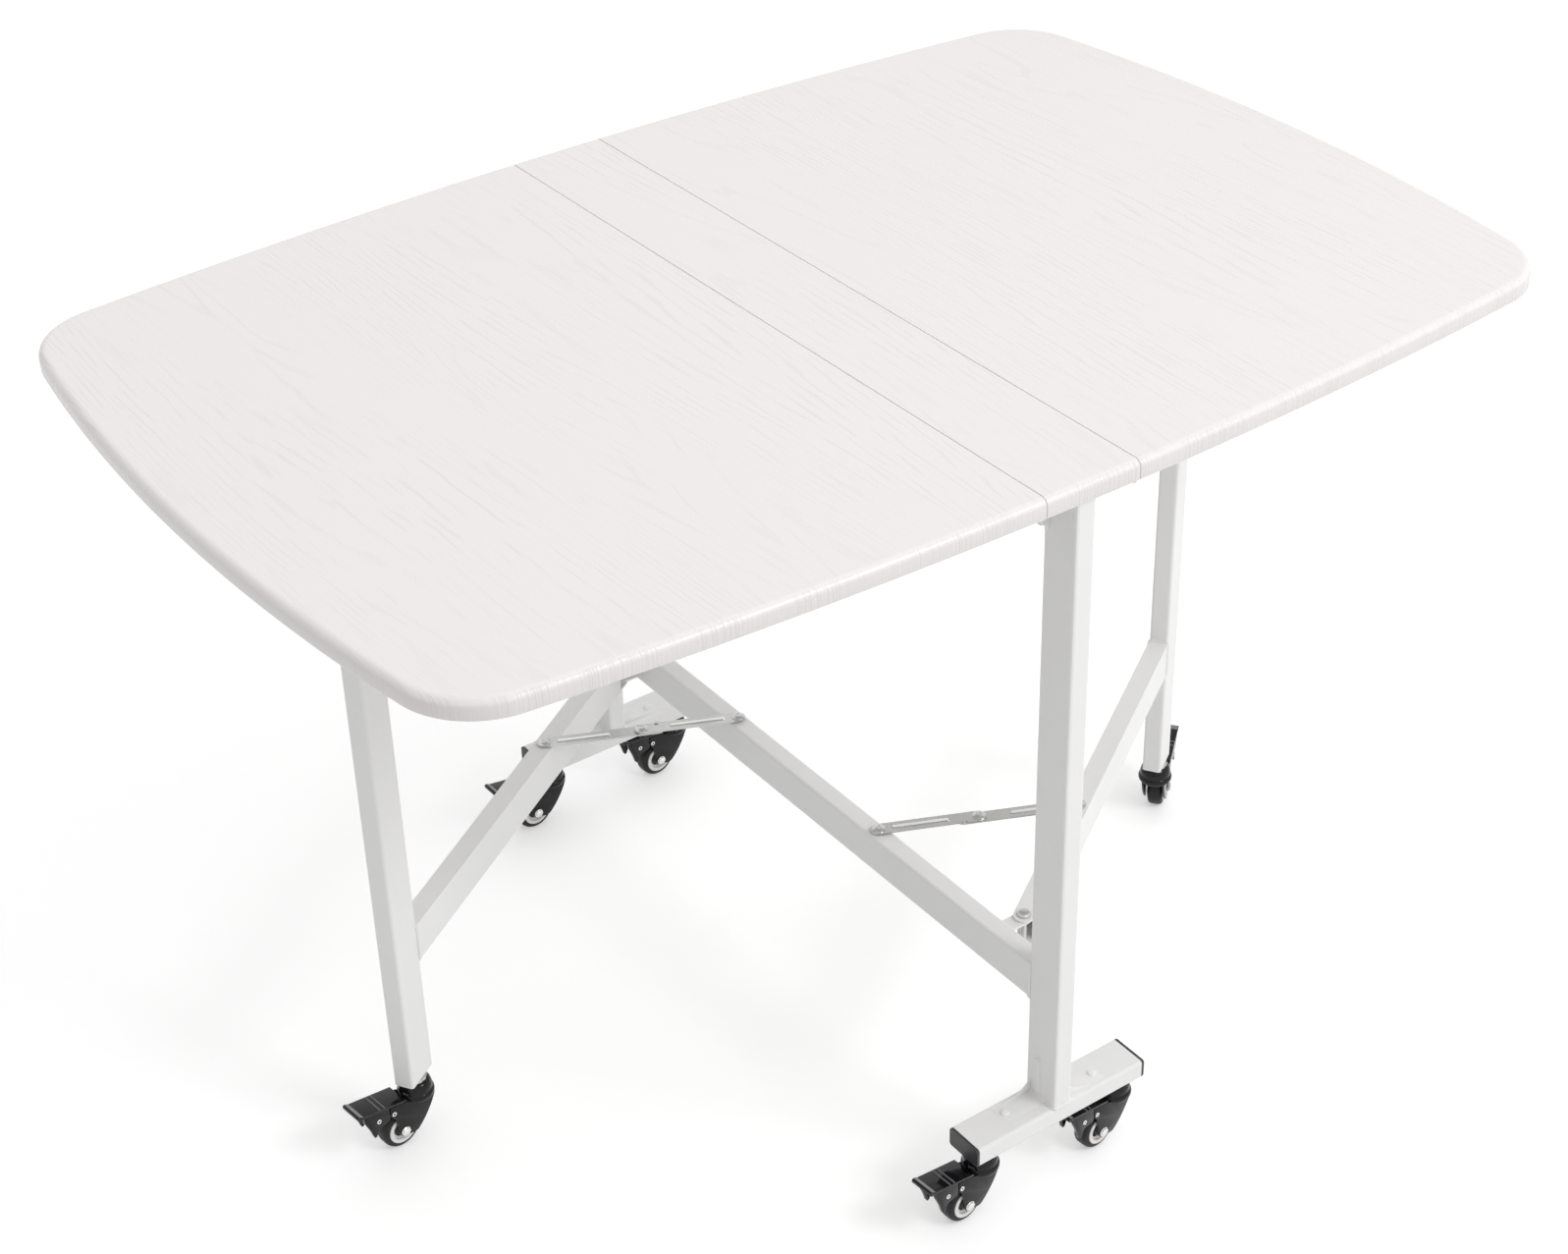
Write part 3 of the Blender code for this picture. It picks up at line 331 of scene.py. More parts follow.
class Material(Nodes):
    """One material's node tree, built round its Principled shader."""

    def __init__(self, name, roughness, metallic=0.0, **sockets):
        self.material = bpy.data.materials.new(name)
        self.material.use_nodes = True
        super().__init__(self.material.node_tree)
        self.shader = self.tree.nodes["Principled BSDF"]
        self.shade(Roughness=roughness, Metallic=metallic, **sockets)

    def shade(self, **sockets):
        for socket, value in sockets.items():
            self.set(self.shader, socket.replace("_", " "), value)

    def drift(self, factor, light, dark, low, high):
        """Colour and roughness that change together with a factor."""
        self.shade(Base_Color=self.blend(factor, light, dark),
                   Roughness=self.ramp(factor, 0.3, 0.7, low, high, smooth=False))

    def bump(self, height, distance, strength):
        node = self.add("ShaderNodeBump", {"Height": height, "Distance": distance, "Strength": strength})
        self.shade(Normal=node.outputs[0])


def film_material():
    """White film with pressed wood grain along Y. The grain turns over the long edges as upright ribs."""
    n = Material("white_film", 0.27)
    across = n.add("ShaderNodeSeparateXYZ", {0: n.place()}).outputs[0]
    facing = n.add("ShaderNodeSeparateXYZ", {0: n.place("Normal")}).outputs[2]
    flat = n.ramp(n.maths('ABSOLUTE', facing), 0.80, 0.97)
    upright = n.ramp(n.maths('ABSOLUTE', facing), 0.10, 0.55, 1.0, 0.0)
    under = n.ramp(facing, -0.95, -0.80, 1.0, 0.0)

    # Fine broken lines
    sway = n.noise((5.0, 0.7, 0.0), (0.31, 0.17, 0.0), 1.5, 0.45)
    shiver = n.noise((70.0, 9.0, 0.0))
    phase = n.plus(n.times(across, GRAIN_LINES), n.times(sway, 24.0))
    phase = n.plus(phase, n.times(shiver, 1.6))
    line = n.ramp(n.maths('SINE', n.times(phase, 2 * math.pi)), 0.30, 0.98)
    dashes = n.ramp(n.noise((120.0, 16.0, 0.0), detail=1.0), 0.38, 0.60)
    zone = n.ramp(n.noise((7.0, 1.8, 0.0), (4.0, 1.0, 0.0)), 0.36, 0.60)
    fine = n.times(n.times(line, dashes), zone)

    # Long pointed figures between the fine lines
    crown = n.noise((11.0, 1.5, 0.0), (0.7, 0.35, 0.0), 1.5, 0.5, 0.3)
    rings = n.maths('SINE', n.times(n.plus(n.times(crown, 13.0), shiver), 2 * math.pi))
    breaks = n.ramp(n.noise((30.0, 6.0, 0.0)), 0.42, 0.60)
    figure = n.times(n.times(n.ramp(rings, 0.55, 1.0), breaks), n.rest(zone))
    grain = n.plus(fine, n.times(figure, 0.75))

    # Ribs round the rim, in patches
    ribs = n.ramp(n.noise((430.0, 2.0, 0.0), detail=1.0), 0.42, 0.62)
    patches = n.ramp(n.noise((26.0, 1.0, 0.0), detail=1.0), 0.36, 0.60, 0.15, 1.0)
    edge_ribs = n.times(ribs, patches)
    rim = n.rest(flat)
    relief = n.plus(n.times(n.times(grain, -0.45), flat), n.times(n.times(edge_ribs, -0.8), rim))
    n.bump(n.times(relief, n.rest(under)), 0.0005, 0.55)

    # White film above and round the rim, plain paper below
    tone = n.plus(n.times(n.times(grain, flat), 0.30), n.times(n.times(edge_ribs, rim), 0.40))
    white = n.blend(tone, n.blend(upright, FILM_FACE, FILM_EDGE), FILM_GRAIN)
    paper = n.blend(n.noise((90.0, 90.0, 0.0), detail=3.0), PAPER_LIGHT, PAPER_DARK)
    n.shade(Base_Color=n.blend(under, white, paper),
            Roughness=n.ramp(grain, 0.0, 1.0, 0.24, 0.36, smooth=False))
    return n.material


def paint_material():
    """White powder coat with a faint orange peel."""
    n = Material("white_paint", 0.38, Specular_IOR_Level=0.22)
    n.bump(n.noise((420.0,) * 3), 0.00006, 0.5)
    n.drift(n.noise((7.0,) * 3), (0.835, 0.832, 0.828), (0.797, 0.794, 0.790), 0.34, 0.46)
    return n.material


def zinc_material(name, light, dark, low, high):
    """Zinc plate with a fine grain and a faint cloudy bloom."""
    n = Material(name, low, 1.0)
    n.bump(n.noise((900.0,) * 3, detail=3.0), 0.00002, 0.4)
    n.drift(n.noise((45.0,) * 3), light, dark, low, high)
    return n.material


def gloss_black_material():
    """Black paint on pressed steel, with a soft ripple, thin grey rubs and a painted highlight that pales its
    rounded edges.
    """
    n = Material("black_paint", 0.10, Specular_IOR_Level=0.28)
    ripple = n.noise((150.0,) * 3)
    rubs = n.ramp(n.noise((520.0, 90.0, 90.0), detail=3.0, roughness=0.6), 0.66, 0.80)
    n.bump(ripple, 0.00012, 0.4)
    # Painted highlight: where the rounded normal turns away from the flat one, the edge is painted pale grey
    rounded = n.add("ShaderNodeBevel", {"Radius": EDGE_HIGHLIGHT}, samples=6).outputs[0]
    flat = n.add("ShaderNodeNewGeometry").outputs["Normal"]
    turned = n.add("ShaderNodeVectorMath", {0: rounded, 1: flat}, operation='DOT_PRODUCT').outputs["Value"]
    edge_highlight = n.ramp(turned, 0.985, 0.90)
    black = n.blend(rubs, (0.005, 0.005, 0.006), (0.020, 0.020, 0.023))
    n.shade(Base_Color=n.blend(edge_highlight, black, (0.16, 0.16, 0.17)),
            Roughness=n.ramp(ripple, 0.3, 0.7, 0.06, 0.13, smooth=False))
    return n.material


def rubber_material():
    """Black rubber, paler and rougher where dust lies on it."""
    n = Material("black_rubber", 0.5, Specular_IOR_Level=0.28)
    dust = n.noise((240.0,) * 3, detail=3.0)
    n.bump(dust, 0.0001, 0.4)
    n.drift(dust, (0.008, 0.008, 0.009), (0.020, 0.020, 0.021), 0.36, 0.56)
    return n.material


def plastic_material(name, light, dark, low, high):
    """Moulded plastic with a fine spark-eroded grain."""
    n = Material(name, low)
    n.bump(n.noise((900.0,) * 3), 0.00006, 0.5)
    n.drift(n.noise((35.0,) * 3), light, dark, low, high)
    return n.material


# Light and dark colour, lowest and highest roughness
ZINCS = {
    "zinc": ((0.60, 0.60, 0.59), (0.50, 0.50, 0.49), 0.24, 0.36),
    "rivet_zinc": ((0.66, 0.66, 0.65), (0.52, 0.52, 0.51), 0.14, 0.24),
    # near-white zinc for the stays' grooves: a painted highlight
    "groove_painted_highlight": ((0.94, 0.94, 0.93), (0.86, 0.86, 0.85), 0.50, 0.62),
    "bright_zinc": ((0.84, 0.84, 0.83), (0.72, 0.72, 0.71), 0.12, 0.22),
}
PLASTICS = {
    "black_plastic": ((0.040, 0.041, 0.044), (0.028, 0.029, 0.031), 0.40, 0.52),
    "white_plastic": ((0.80, 0.80, 0.79), (0.74, 0.74, 0.73), 0.40, 0.50),
    "hub_ring": ((0.82, 0.81, 0.79), (0.72, 0.71, 0.69), 0.28, 0.40),
    # grey of the pedals' lip and ridge strips: rubbed paint and a painted highlight
    "lip_wear_and_highlight": ((0.24, 0.24, 0.25), (0.15, 0.15, 0.16), 0.38, 0.55),
}
LOOKS = {
    "white_film": film_material(),
    "white_paint": paint_material(),
    "black_paint": gloss_black_material(),
    "black_rubber": rubber_material(),
    **{name: zinc_material(name, *finish) for name, finish in ZINCS.items()},
    **{name: plastic_material(name, *finish) for name, finish in PLASTICS.items()},
}


# Outlines and meshes

ALONG_Y = Matrix.Rotation(-math.pi / 2, 4, 'X')


def arc(centre, radius, start, end, steps):
    return [(centre[0] + radius * math.cos(start + (end - start) * k / steps),
             centre[1] + radius * math.sin(start + (end - start) * k / steps)) for k in range(steps + 1)]


def bowed(start, end, rise, steps):
    """Points of a shallow bow from start to end, standing off to the right of the way."""
    run = (end[0] - start[0], end[1] - start[1])
    length = math.hypot(*run)
    points = []
    for k in range(steps + 1):
        t = k / steps
        off = 4 * t * (1 - t) * rise / length
        points.append((start[0] + run[0] * t + run[1] * off, start[1] + run[1] * t - run[0] * off))
    return points


def eased(points, radius, steps, closed=True):
    """The same outline with each corner turned into a short curve. An open one keeps its two ends."""
    count = len(points)
    result = []
    for k, point in enumerate(points):
        if not closed and k in (0, count - 1):
            result.append(point)
            continue
        here, before, after = Vector(point), Vector(points[k - 1]), Vector(points[(k + 1) % count])
        reach = min(radius, (before - here).length * 0.48, (after - here).length * 0.48)
        start = here + (before - here).normalized() * reach
        end = here + (after - here).normalized() * reach
        for step in range(steps + 1):
            t = step / steps
            result.append(tuple(start * (1 - t) ** 2 + here * 2 * t * (1 - t) + end * t ** 2))
    return result


def stadium(start, end, half, steps=8):
    """Outline of a bar with round ends, along its first axis."""
    return (arc((end, 0.0), half, -math.pi / 2, math.pi / 2, steps)
            + arc((start, 0.0), half, math.pi / 2, 1.5 * math.pi, steps))


def mirrored(points):
    """A wheel's profile from one side, carried on over the other side."""
    return points + [(radius, -height) for radius, height in reversed(points)]


def added(bm, known):
    """The points that a mesh has gained."""
    return [v for v in bm.verts if v not in known]


def finished(bm, name):
    """Clean a mesh and shade it smooth, with its sharp edges kept."""
    bmesh.ops.dissolve_degenerate(bm, dist=MERGE, edges=bm.edges)
    bmesh.ops.recalc_face_normals(bm, faces=bm.faces)
    mesh = bpy.data.meshes.new(name)
    bm.to_mesh(mesh)
    bm.free()
    mesh.shade_smooth()
    mesh.set_sharp_from_angle(angle=SHARP_ANGLE)
    return mesh


def soften(bm, width, segments, angle=50):
    """Round every edge that turns by more than the angle, in degrees."""
    limit = math.radians(angle)
    sharp = [e for e in bm.edges if len(e.link_faces) == 2 and e.calc_face_angle(0.0) > limit]
    bmesh.ops.bevel(bm, geom=sharp, offset=width, segments=segments, profile=0.5, affect='EDGES',
                    clamp_overlap=True)


def prism_into(bm, outline, low, high, axes="xz"):
    """Add an extruded outline to a mesh: in X and Z along Y, or in X and Y along Z."""
    def at(u, v, w):
        return (u, w, v) if axes == "xz" else (u, v, w)

    ends = []
    for level in (low, high):
        ends.append([bm.verts.new(at(u, v, level)) for u, v in outline])
    faces = [bm.faces.new(ring) for ring in ends]
    for k in range(len(outline)):
        j = (k + 1) % len(outline)
        faces.append(bm.faces.new((ends[0][k], ends[0][j], ends[1][j], ends[1][k])))
    bmesh.ops.recalc_face_normals(bm, faces=faces)


def lathe_into(bm, profile, sides, matrix=None, ease=0.0, steps=3):
    """Add a profile of (radius, height) points turned about Z, then moved. An open base or bore is closed."""
    if ease:
        profile = eased(profile, ease, steps, closed=False)
    if profile[0][0] == 0.0 and profile[-1][0] > 0.0:
        profile = profile + [(0.0, profile[-1][1])]
    known = set(bm.verts)
    verts = [bm.verts.new((radius, 0.0, height)) for radius, height in profile]
    edges = [bm.edges.new(pair) for pair in zip(verts, verts[1:])]
    if profile[0][0] > 0.0:
        edges.append(bm.edges.new((verts[-1], verts[0])))
    bmesh.ops.spin(bm, geom=verts + edges, cent=(0, 0, 0), axis=(0, 0, 1), angle=2 * math.pi, steps=sides,
                   use_merge=True)
    bmesh.ops.remove_doubles(bm, verts=added(bm, known), dist=MERGE)
    if matrix is not None:
        bmesh.ops.transform(bm, matrix=matrix, verts=added(bm, known))


def turned_mesh(name, profile, ease, steps=3, matrix=None):
    bm = bmesh.new()
    lathe_into(bm, profile, TURNED_SIDES, matrix, ease, steps)
    return finished(bm, name)


def piece(name, mesh, look, body, matrix=None, replaces=()):
    """Link a mesh as a named piece on a body. Pieces that share a mesh share its material."""
    obj = bpy.data.objects.new(name, mesh)
    bpy.context.scene.collection.objects.link(obj)
    if not mesh.materials:
        mesh.materials.append(LOOKS[look])
    obj.matrix_world = matrix or Matrix.Identity(4)
    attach(obj, body)
    if replaces:
        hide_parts(*replaces)


def joint_place(name):
    return Vector(JOINTS[name]["pos_m"])


# Table top

HALF_LENGTH = CAD_BOX[1].x
HALF_WIDTH = CAD_BOX[1].y
SIDE_RADIUS = (HALF_LENGTH ** 2 + SIDE_BOW ** 2) / (2 * SIDE_BOW)
END_RADIUS = (HALF_WIDTH ** 2 + END_BOW ** 2) / (2 * END_BOW)
SIDE_CENTRE = Vector((0, HALF_WIDTH - SIDE_RADIUS))
END_CENTRE = Vector((HALF_LENGTH - END_RADIUS, 0))


def corner_centre():
    """Where the side and end arcs, both set in by the corner radius, cross."""
    r0, r1 = SIDE_RADIUS - CORNER_RADIUS, END_RADIUS - CORNER_RADIUS
    line = END_CENTRE - SIDE_CENTRE
    along = (line.length_squared + r0 ** 2 - r1 ** 2) / (2 * line.length)
    unit = line.normalized()
    return SIDE_CENTRE + unit * along + Vector((unit.y, -unit.x)) * math.sqrt(r0 ** 2 - along ** 2)


def side_arc(x_from, x_to, steps):
    """Points of the far long side."""
    return [(x, SIDE_CENTRE.y + math.sqrt(SIDE_RADIUS ** 2 - x ** 2))
            for x in (x_from + (x_to - x_from) * k / steps for k in range(steps + 1))]


def leaf_outline(seam):
    """Right leaf, from the far end of its seam round to the near end."""
    corner = corner_centre()
    out = (corner - SIDE_CENTRE).normalized()
    end = (corner - END_CENTRE).normalized()
    start_turn, end_turn = math.atan2(out.y, out.x), math.atan2(end.y, end.x)
    far = side_arc(seam, (SIDE_CENTRE + out * SIDE_RADIUS).x, SIDE_STEPS)
    far += arc(corner, CORNER_RADIUS, start_turn, end_turn, CORNER_STEPS)[1:]
    far += arc(END_CENTRE, END_RADIUS, end_turn, 0.0, END_STEPS)[1:]
    return far + [(x, -y) for x, y in reversed(far[:-1])]


def strip_outline(half):
    far = side_arc(-half, half, STRIP_STEPS)
    return far + [(x, -y) for x, y in reversed(far)]


def panel_mesh(name, outline, low, high, seams):
    """Board with a round upper edge, an eased lower edge, and nearly square edges along its seams."""
    bm = bmesh.new()
    prism_into(bm, outline, low, high, "xy")

    def on_seam(edge):
        return any(all(abs(v.co.x - seam) < MERGE for v in edge.verts) for seam in seams)

    def at_level(edge, level):
        return all(abs(v.co.z - level) < MERGE for v in edge.verts)

    for level, seam, width, steps in ((high, False, EDGE_ROUND, 6), (low, False, EDGE_EASE, 2),
                                      (high, True, SEAM_EASE, 2)):
        rim = [e for e in bm.edges if at_level(e, level) and on_seam(e) == seam]
        bmesh.ops.bevel(bm, geom=rim, offset=width, segments=steps, profile=0.5, affect='EDGES')
    broad = sorted(bm.faces, key=lambda face: face.calc_area())[-2:]
    bmesh.ops.inset_individual(bm, faces=broad, thickness=FACE_INSET)
    return finished(bm, name)


def dress_top():
    low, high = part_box("centre_panel")
    strip_half = high.x + SEAM_CLOSER
    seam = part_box("leaf_right")[0].x - SEAM_CLOSER
    mesh = panel_mesh("strip_board", strip_outline(strip_half), low.z, high.z, (-strip_half, strip_half))
    piece("strip_board", mesh, "white_film", "frame", replaces=("centre_panel",))
    right = leaf_outline(seam)
    for side, sign in (("right", 1), ("left", -1)):
        outline = [(sign * x, sign * y) for x, y in right]
        mesh = panel_mesh(f"leaf_board_{side}", outline, low.z, high.z, (sign * seam,))
        piece(f"leaf_board_{side}", mesh, "white_film", f"leaf_{side}_body",
              replaces=(f"leaf_{side}",))


# Casters

def caster_places(name):
    """Matrices of the stem, axle and pedal pivot of one caster, turned to its trailing direction."""
    stem, axle, pivot = (joint_place(f"caster_{name}_{part}_joint") for part in ("swivel", "roll", "brake"))
    turn = Matrix.Rotation(math.atan2(axle.y - stem.y, axle.x - stem.x), 4, 'Z')
    floor = Vector((stem.x, stem.y, 0.0))
    return tuple(Matrix.Translation(spot) @ turn for spot in (floor, axle, pivot))


STEM, AXLE, PIVOT = (matrix.translation for matrix in caster_places(CASTERS[0]))
WHEEL_RADIUS = AXLE.z
AXLE_TRAIL = (AXLE - STEM).to_2d().length
PIVOT_X = (PIVOT - STEM).to_2d().length
PIVOT_Z = PIVOT.z
CUP_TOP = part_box(f"caster_{CASTERS[0]}_fork")[1].z
CUP_BOTTOM = CUP_TOP - CUP_HEIGHT
FOOT_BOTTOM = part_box("foot_near")[0].z
LIP_TOP = FOOT_BOTTOM - LIP_CLEARANCE - PIVOT_Z
PEDAL_FRONT = CUP_RADIUS + PEDAL_CUP_GAP - PIVOT_X


def pedal_top(x):
    """Height of the tread above the pedal's pivot."""
    return LIP_TOP - LIP_RISE - (PEDAL_REACH - x) * math.tan(PEDAL_TILT)


def pedal_under(x):
    return pedal_top(x) - PEDAL_THICK


def pedal_middle(x):
    return pedal_under(x) + PEDAL_THICK / 2


def outward(x, y, z):
    """Turn Z to the side of the caster that the place lies on, and move it there."""
    return Matrix.Translation((x, y, z)) @ Matrix.Rotation(-math.copysign(math.pi / 2, y), 4, 'X')


def both_sides_into(bm, outline, inner, outer):
    """Add an outline's plate on both sides of the wheel."""
    for side in (-1, 1):
        prism_into(bm, outline, *sorted((side * inner, side * outer)))


def tyre_mesh():
    """Tread with round shoulders and a raised bead beside the hub ring."""
    half, radius = WHEEL_HALF_WIDTH, WHEEL_RADIUS
    side = [(HUB_RING_OUTER - HUB_RING_SEAT, half * 0.70), (HUB_RING_OUTER, half * 0.90),
            (radius * 0.80, half * 0.93), (radius * 0.83, half * 0.86), (radius * 0.92, half * 0.84),
            (radius * 0.985, half * 0.60), (radius, half * 0.30)]
    return turned_mesh("tyre", mirrored(side), TYRE_EASE, matrix=ALONG_Y)


def hub_ring_mesh():
    """Pale ring between the tyre and the web, with a crowned face."""
    half = WHEEL_HALF_WIDTH
    side = [(HUB_STEP, half * 0.50), (HUB_STEP + DRAFT, half * 0.66),
            (HUB_RING_INNER - HUB_SLOPE, half * 0.72), (HUB_RING_INNER, half * 0.99),
            (HUB_RING_OUTER - HUB_RING_CROWN, half * 1.03), (HUB_RING_OUTER - DRAFT, half * 0.98),
            (HUB_RING_OUTER, half * 0.70)]
    return turned_mesh("hub_ring", mirrored(side), HUB_RING_EASE, matrix=ALONG_Y)


def hub_core_mesh():
    """Dark web inside the ring, with a boss round the axle and shallow spokes."""
    half = WHEEL_HALF_WIDTH
    side = [(SHAFT_BORE, half * 0.98), (HUB_BOSS - HUB_SLOPE, half * 0.98), (HUB_BOSS, half * 0.60),
            (HUB_STEP + DRAFT, half * 0.52)]
    bm = bmesh.new()
    lathe_into(bm, mirrored(side), HUB_SIDES, ALONG_Y, HUB_EASE)
    place = Matrix.Translation(((HUB_BOSS + HUB_STEP) / 2, 0, 0))
    size = Matrix.Diagonal((HUB_STEP - HUB_BOSS, half * 1.3, SPOKE_THICK, 1.0))
    for k in range(SPOKES):
        turn = Matrix.Rotation(2 * math.pi * k / SPOKES, 4, 'Y')
        spoke = bmesh.ops.create_cube(bm, size=1.0)["verts"]
        bmesh.ops.transform(bm, matrix=turn @ place @ size, verts=spoke)
    return finished(bm, "hub_core")


def cup_mesh():
    """Two pressed swivel dishes with the ball race line between them."""
    r, low, top, h = CUP_RADIUS, CUP_BOTTOM, CUP_TOP, CUP_HEIGHT
    profile = [(0.0, low), (r * 0.90, low), (r, low + h * 0.10), (r, low + h * 0.30),
               (r * 0.93, low + h * 0.38), (r * 0.90, low + h * 0.41), (r * 0.91, low + h * 0.46),
               (r * 0.90, low + h * 0.66), (r * 0.80, top - h * 0.10), (r * 0.66, top), (STEM_HOLE, top),
               (STEM_HOLE, top - STEM_HOLE_DEPTH), (0.0, top - STEM_HOLE_DEPTH)]
    return turned_mesh("cup", profile, CUP_EASE, 4)


def fork_plates_mesh():
    """The two side plates: an eye round the axle, a bowed front with a round toe, a shoulder at the pedal."""
    axle = (AXLE_TRAIL, WHEEL_RADIUS)
    chord = math.sqrt(CUP_RADIUS ** 2 - FORK_OUTER ** 2)
    plate_top = CUP_BOTTOM + CUP_HEIGHT * 0.22
    pin_rear = PEDAL_BARREL + RIVET_RISE

    def shoulder(x):
        return PIVOT_X + x, PIVOT_Z + pedal_under(x) - PEDAL_FORK_GAP

    eye = arc(axle, NUT_RADIUS + RIVET_RISE, *EYE_ANGLES, 10)
    rear = [(PIVOT_X, PIVOT_Z - 2 * PEDAL_BARREL), (PIVOT_X + pin_rear, PIVOT_Z - PEDAL_BARREL),
            shoulder(pin_rear), shoulder(PEDAL_FRONT), (chord, plate_top), (-chord, plate_top),
            (-chord, CUP_BOTTOM)]
    corner = (axle[0] + FORK_COVER * math.cos(TOE_ANGLE), axle[1] + FORK_COVER * math.sin(TOE_ANGLE))
    front = bowed(rear[-1], corner, FORK_BULGE, 10)
    toe = eased([front[-3], corner, eye[0]], TOE_ROUND, 8, closed=False)
    outline = eased([*eye, *rear], PLATE_EASE, 4, closed=False) + front[1:-3] + toe[:-1]
    bm = bmesh.new()
    both_sides_into(bm, outline, FORK_INNER, FORK_OUTER)
    soften(bm, PRESSED_EDGE, 3)
    return finished(bm, "fork_plates")


def ring_rivet_into(bm, x, z):
    """A tube rivet's rolled rings on the caster's two outer faces."""
    ring = [(RIVET_HOLE, -RIVET_SINK), (RIVET_HOLE + DRAFT, RIVET_RISE * 0.8),
            (RIVET_RADIUS * 0.75, RIVET_RISE), (RIVET_RADIUS, RIVET_RISE * 0.5),
            (RIVET_RADIUS, -RIVET_SINK)]
    for side in (-1, 1):
        lathe_into(bm, ring, RIVET_SIDES, outward(x, side * FORK_OUTER, z), RIVET_EASE)


def axle_hardware_mesh():
    """Hexagon nut with washer and a rounded thread end on both sides, and the pedal pin's rolled ends."""
    washer = [(0.0, 0.0), (NUT_RADIUS, 0.0), (NUT_RADIUS, WASHER_THICK), (0.0, WASHER_THICK)]
    nut = [(0.0, NUT_BASE), (NUT_RADIUS * 0.86, NUT_BASE), (NUT_RADIUS * 0.92, NUT_BASE + NUT_CHAMFER),
           (NUT_RADIUS * 0.92, NUT_TOP - NUT_CHAMFER), (NUT_RADIUS * 0.80, NUT_TOP), (0.0, NUT_TOP)]
    thread = [(0.0, THREAD_BASE), (THREAD_RADIUS, THREAD_BASE), (THREAD_RADIUS, THREAD_TOP - THREAD_DOME),
              (THREAD_TIP, THREAD_TOP), (0.0, THREAD_TOP)]
    shaft = [(0.0, -FORK_OUTER), (SHAFT_RADIUS, -FORK_OUTER), (SHAFT_RADIUS, FORK_OUTER), (0.0, FORK_OUTER)]
    bm = bmesh.new()
    for side in (-1, 1):
        place = outward(AXLE_TRAIL, side * FORK_OUTER, WHEEL_RADIUS)
        lathe_into(bm, washer, HEAD_SIDES, place, WASHER_EASE, 2)
        lathe_into(bm, nut, HEXAGON, place)
        lathe_into(bm, thread, SMALL_SIDES, place, THREAD_EASE, 2)
    lathe_into(bm, shaft, SMALL_SIDES, Matrix.Translation((AXLE_TRAIL, 0, WHEEL_RADIUS)) @ ALONG_Y)
    ring_rivet_into(bm, PIVOT_X, PIVOT_Z)
    return finished(bm, "axle_hardware")


def pedal_plate_mesh():
    """Tread with two ridges and a turned-up lip, block on the pivot, and the two cheeks."""
    tread = [(PEDAL_FRONT, pedal_top(PEDAL_FRONT)), (PEDAL_FRONT, pedal_under(PEDAL_FRONT)),
             (PEDAL_REACH, pedal_under(PEDAL_REACH)), (LIP_END, pedal_under(PEDAL_REACH)),
             (LIP_END, LIP_TOP - LIP_RISE * 0.3), (LIP_END - LIP_LENGTH * 0.4, LIP_TOP),
             (PEDAL_REACH, pedal_top(PEDAL_REACH))]
    bm = bmesh.new()
    prism_into(bm, eased(tread, PEDAL_EASE, 3), -PEDAL_HALF_WIDTH, PEDAL_HALF_WIDTH)
    ridge_half = PEDAL_HALF_WIDTH * 0.94
    for start in RIDGES:
        ridge = [(start + x, pedal_under(start + x) + RIDGE_ROOT) for x in RIDGE_FOOT]
        ridge += [(start + x, pedal_top(start + x) + RIDGE_RISE) for x in RIDGE_CREST]
        prism_into(bm, eased(ridge, RIDGE_EASE, 2), -ridge_half, ridge_half)
    heel = PEDAL_BARREL * 3.4
    block = arc((0, 0), PEDAL_BARREL, math.pi, 1.75 * math.pi, 12)
    block += [(PEDAL_BARREL * 2.4, -PEDAL_BARREL * 0.8), (heel, 0.0), (heel, pedal_middle(heel)),
              (-PEDAL_BARREL, pedal_middle(-PEDAL_BARREL))]
    prism_into(bm, block, -CHEEK_INNER, CHEEK_INNER)
    cheek = [(CHEEK_START, pedal_middle(CHEEK_START)), (CHEEK_START, -PEDAL_BARREL * 1.5), TOOTH_ROOT,
             (TOOTH_TIP[0] - TOOTH_BLUNT, TOOTH_TIP[1]), (TOOTH_TIP[0] + TOOTH_BLUNT, TOOTH_TIP[1]),
             TOOTH_BACK, (CHEEK_REACH, CHEEK_HEEL), (CHEEK_REACH, pedal_middle(PEDAL_REACH))]
    both_sides_into(bm, eased(cheek, PLATE_EASE, 5), CHEEK_INNER, FORK_OUTER)
    soften(bm, PRESSED_EDGE, 3)
    return finished(bm, "pedal_plate")


def pedal_lip_mesh():
    """Grey skin, a little proud of the paint, on the lip's slope and along both ridges: rubbed paint with a
    painted highlight.
    """
    root = pedal_top(PEDAL_REACH)
    skin = [(PEDAL_REACH - 0.0002, root + 0.0001), (LIP_END - LIP_LENGTH * 0.42, LIP_TOP + 0.00025),
            (LIP_END - LIP_LENGTH * 0.30, LIP_TOP - 0.0001), (PEDAL_REACH + 0.0006, root - 0.0004)]
    bm = bmesh.new()
    prism_into(bm, skin, -PEDAL_HALF_WIDTH * 0.95, PEDAL_HALF_WIDTH * 0.95)
    # The strips on the ridges' crests are rubbed paint and a painted highlight
    for start in RIDGES:
        foot, crest = (pedal_top(start + RUB_SHEEN_MIDDLE) + level for level in RUB_SHEEN_LEVELS)
        strip = [(start + x, foot) for x in RUB_SHEEN_FOOT] + [(start + x, crest) for x in RUB_SHEEN_CREST]
        prism_into(bm, strip, -PEDAL_HALF_WIDTH * 0.90, PEDAL_HALF_WIDTH * 0.90)
    soften(bm, RUB_SHEEN_EASE, 2, 30)
    return finished(bm, "pedal_lip")


def cheek_rivets_mesh():
    bm = bmesh.new()
    ring_rivet_into(bm, *CHEEK_RIVET)
    return finished(bm, "cheek_rivets")


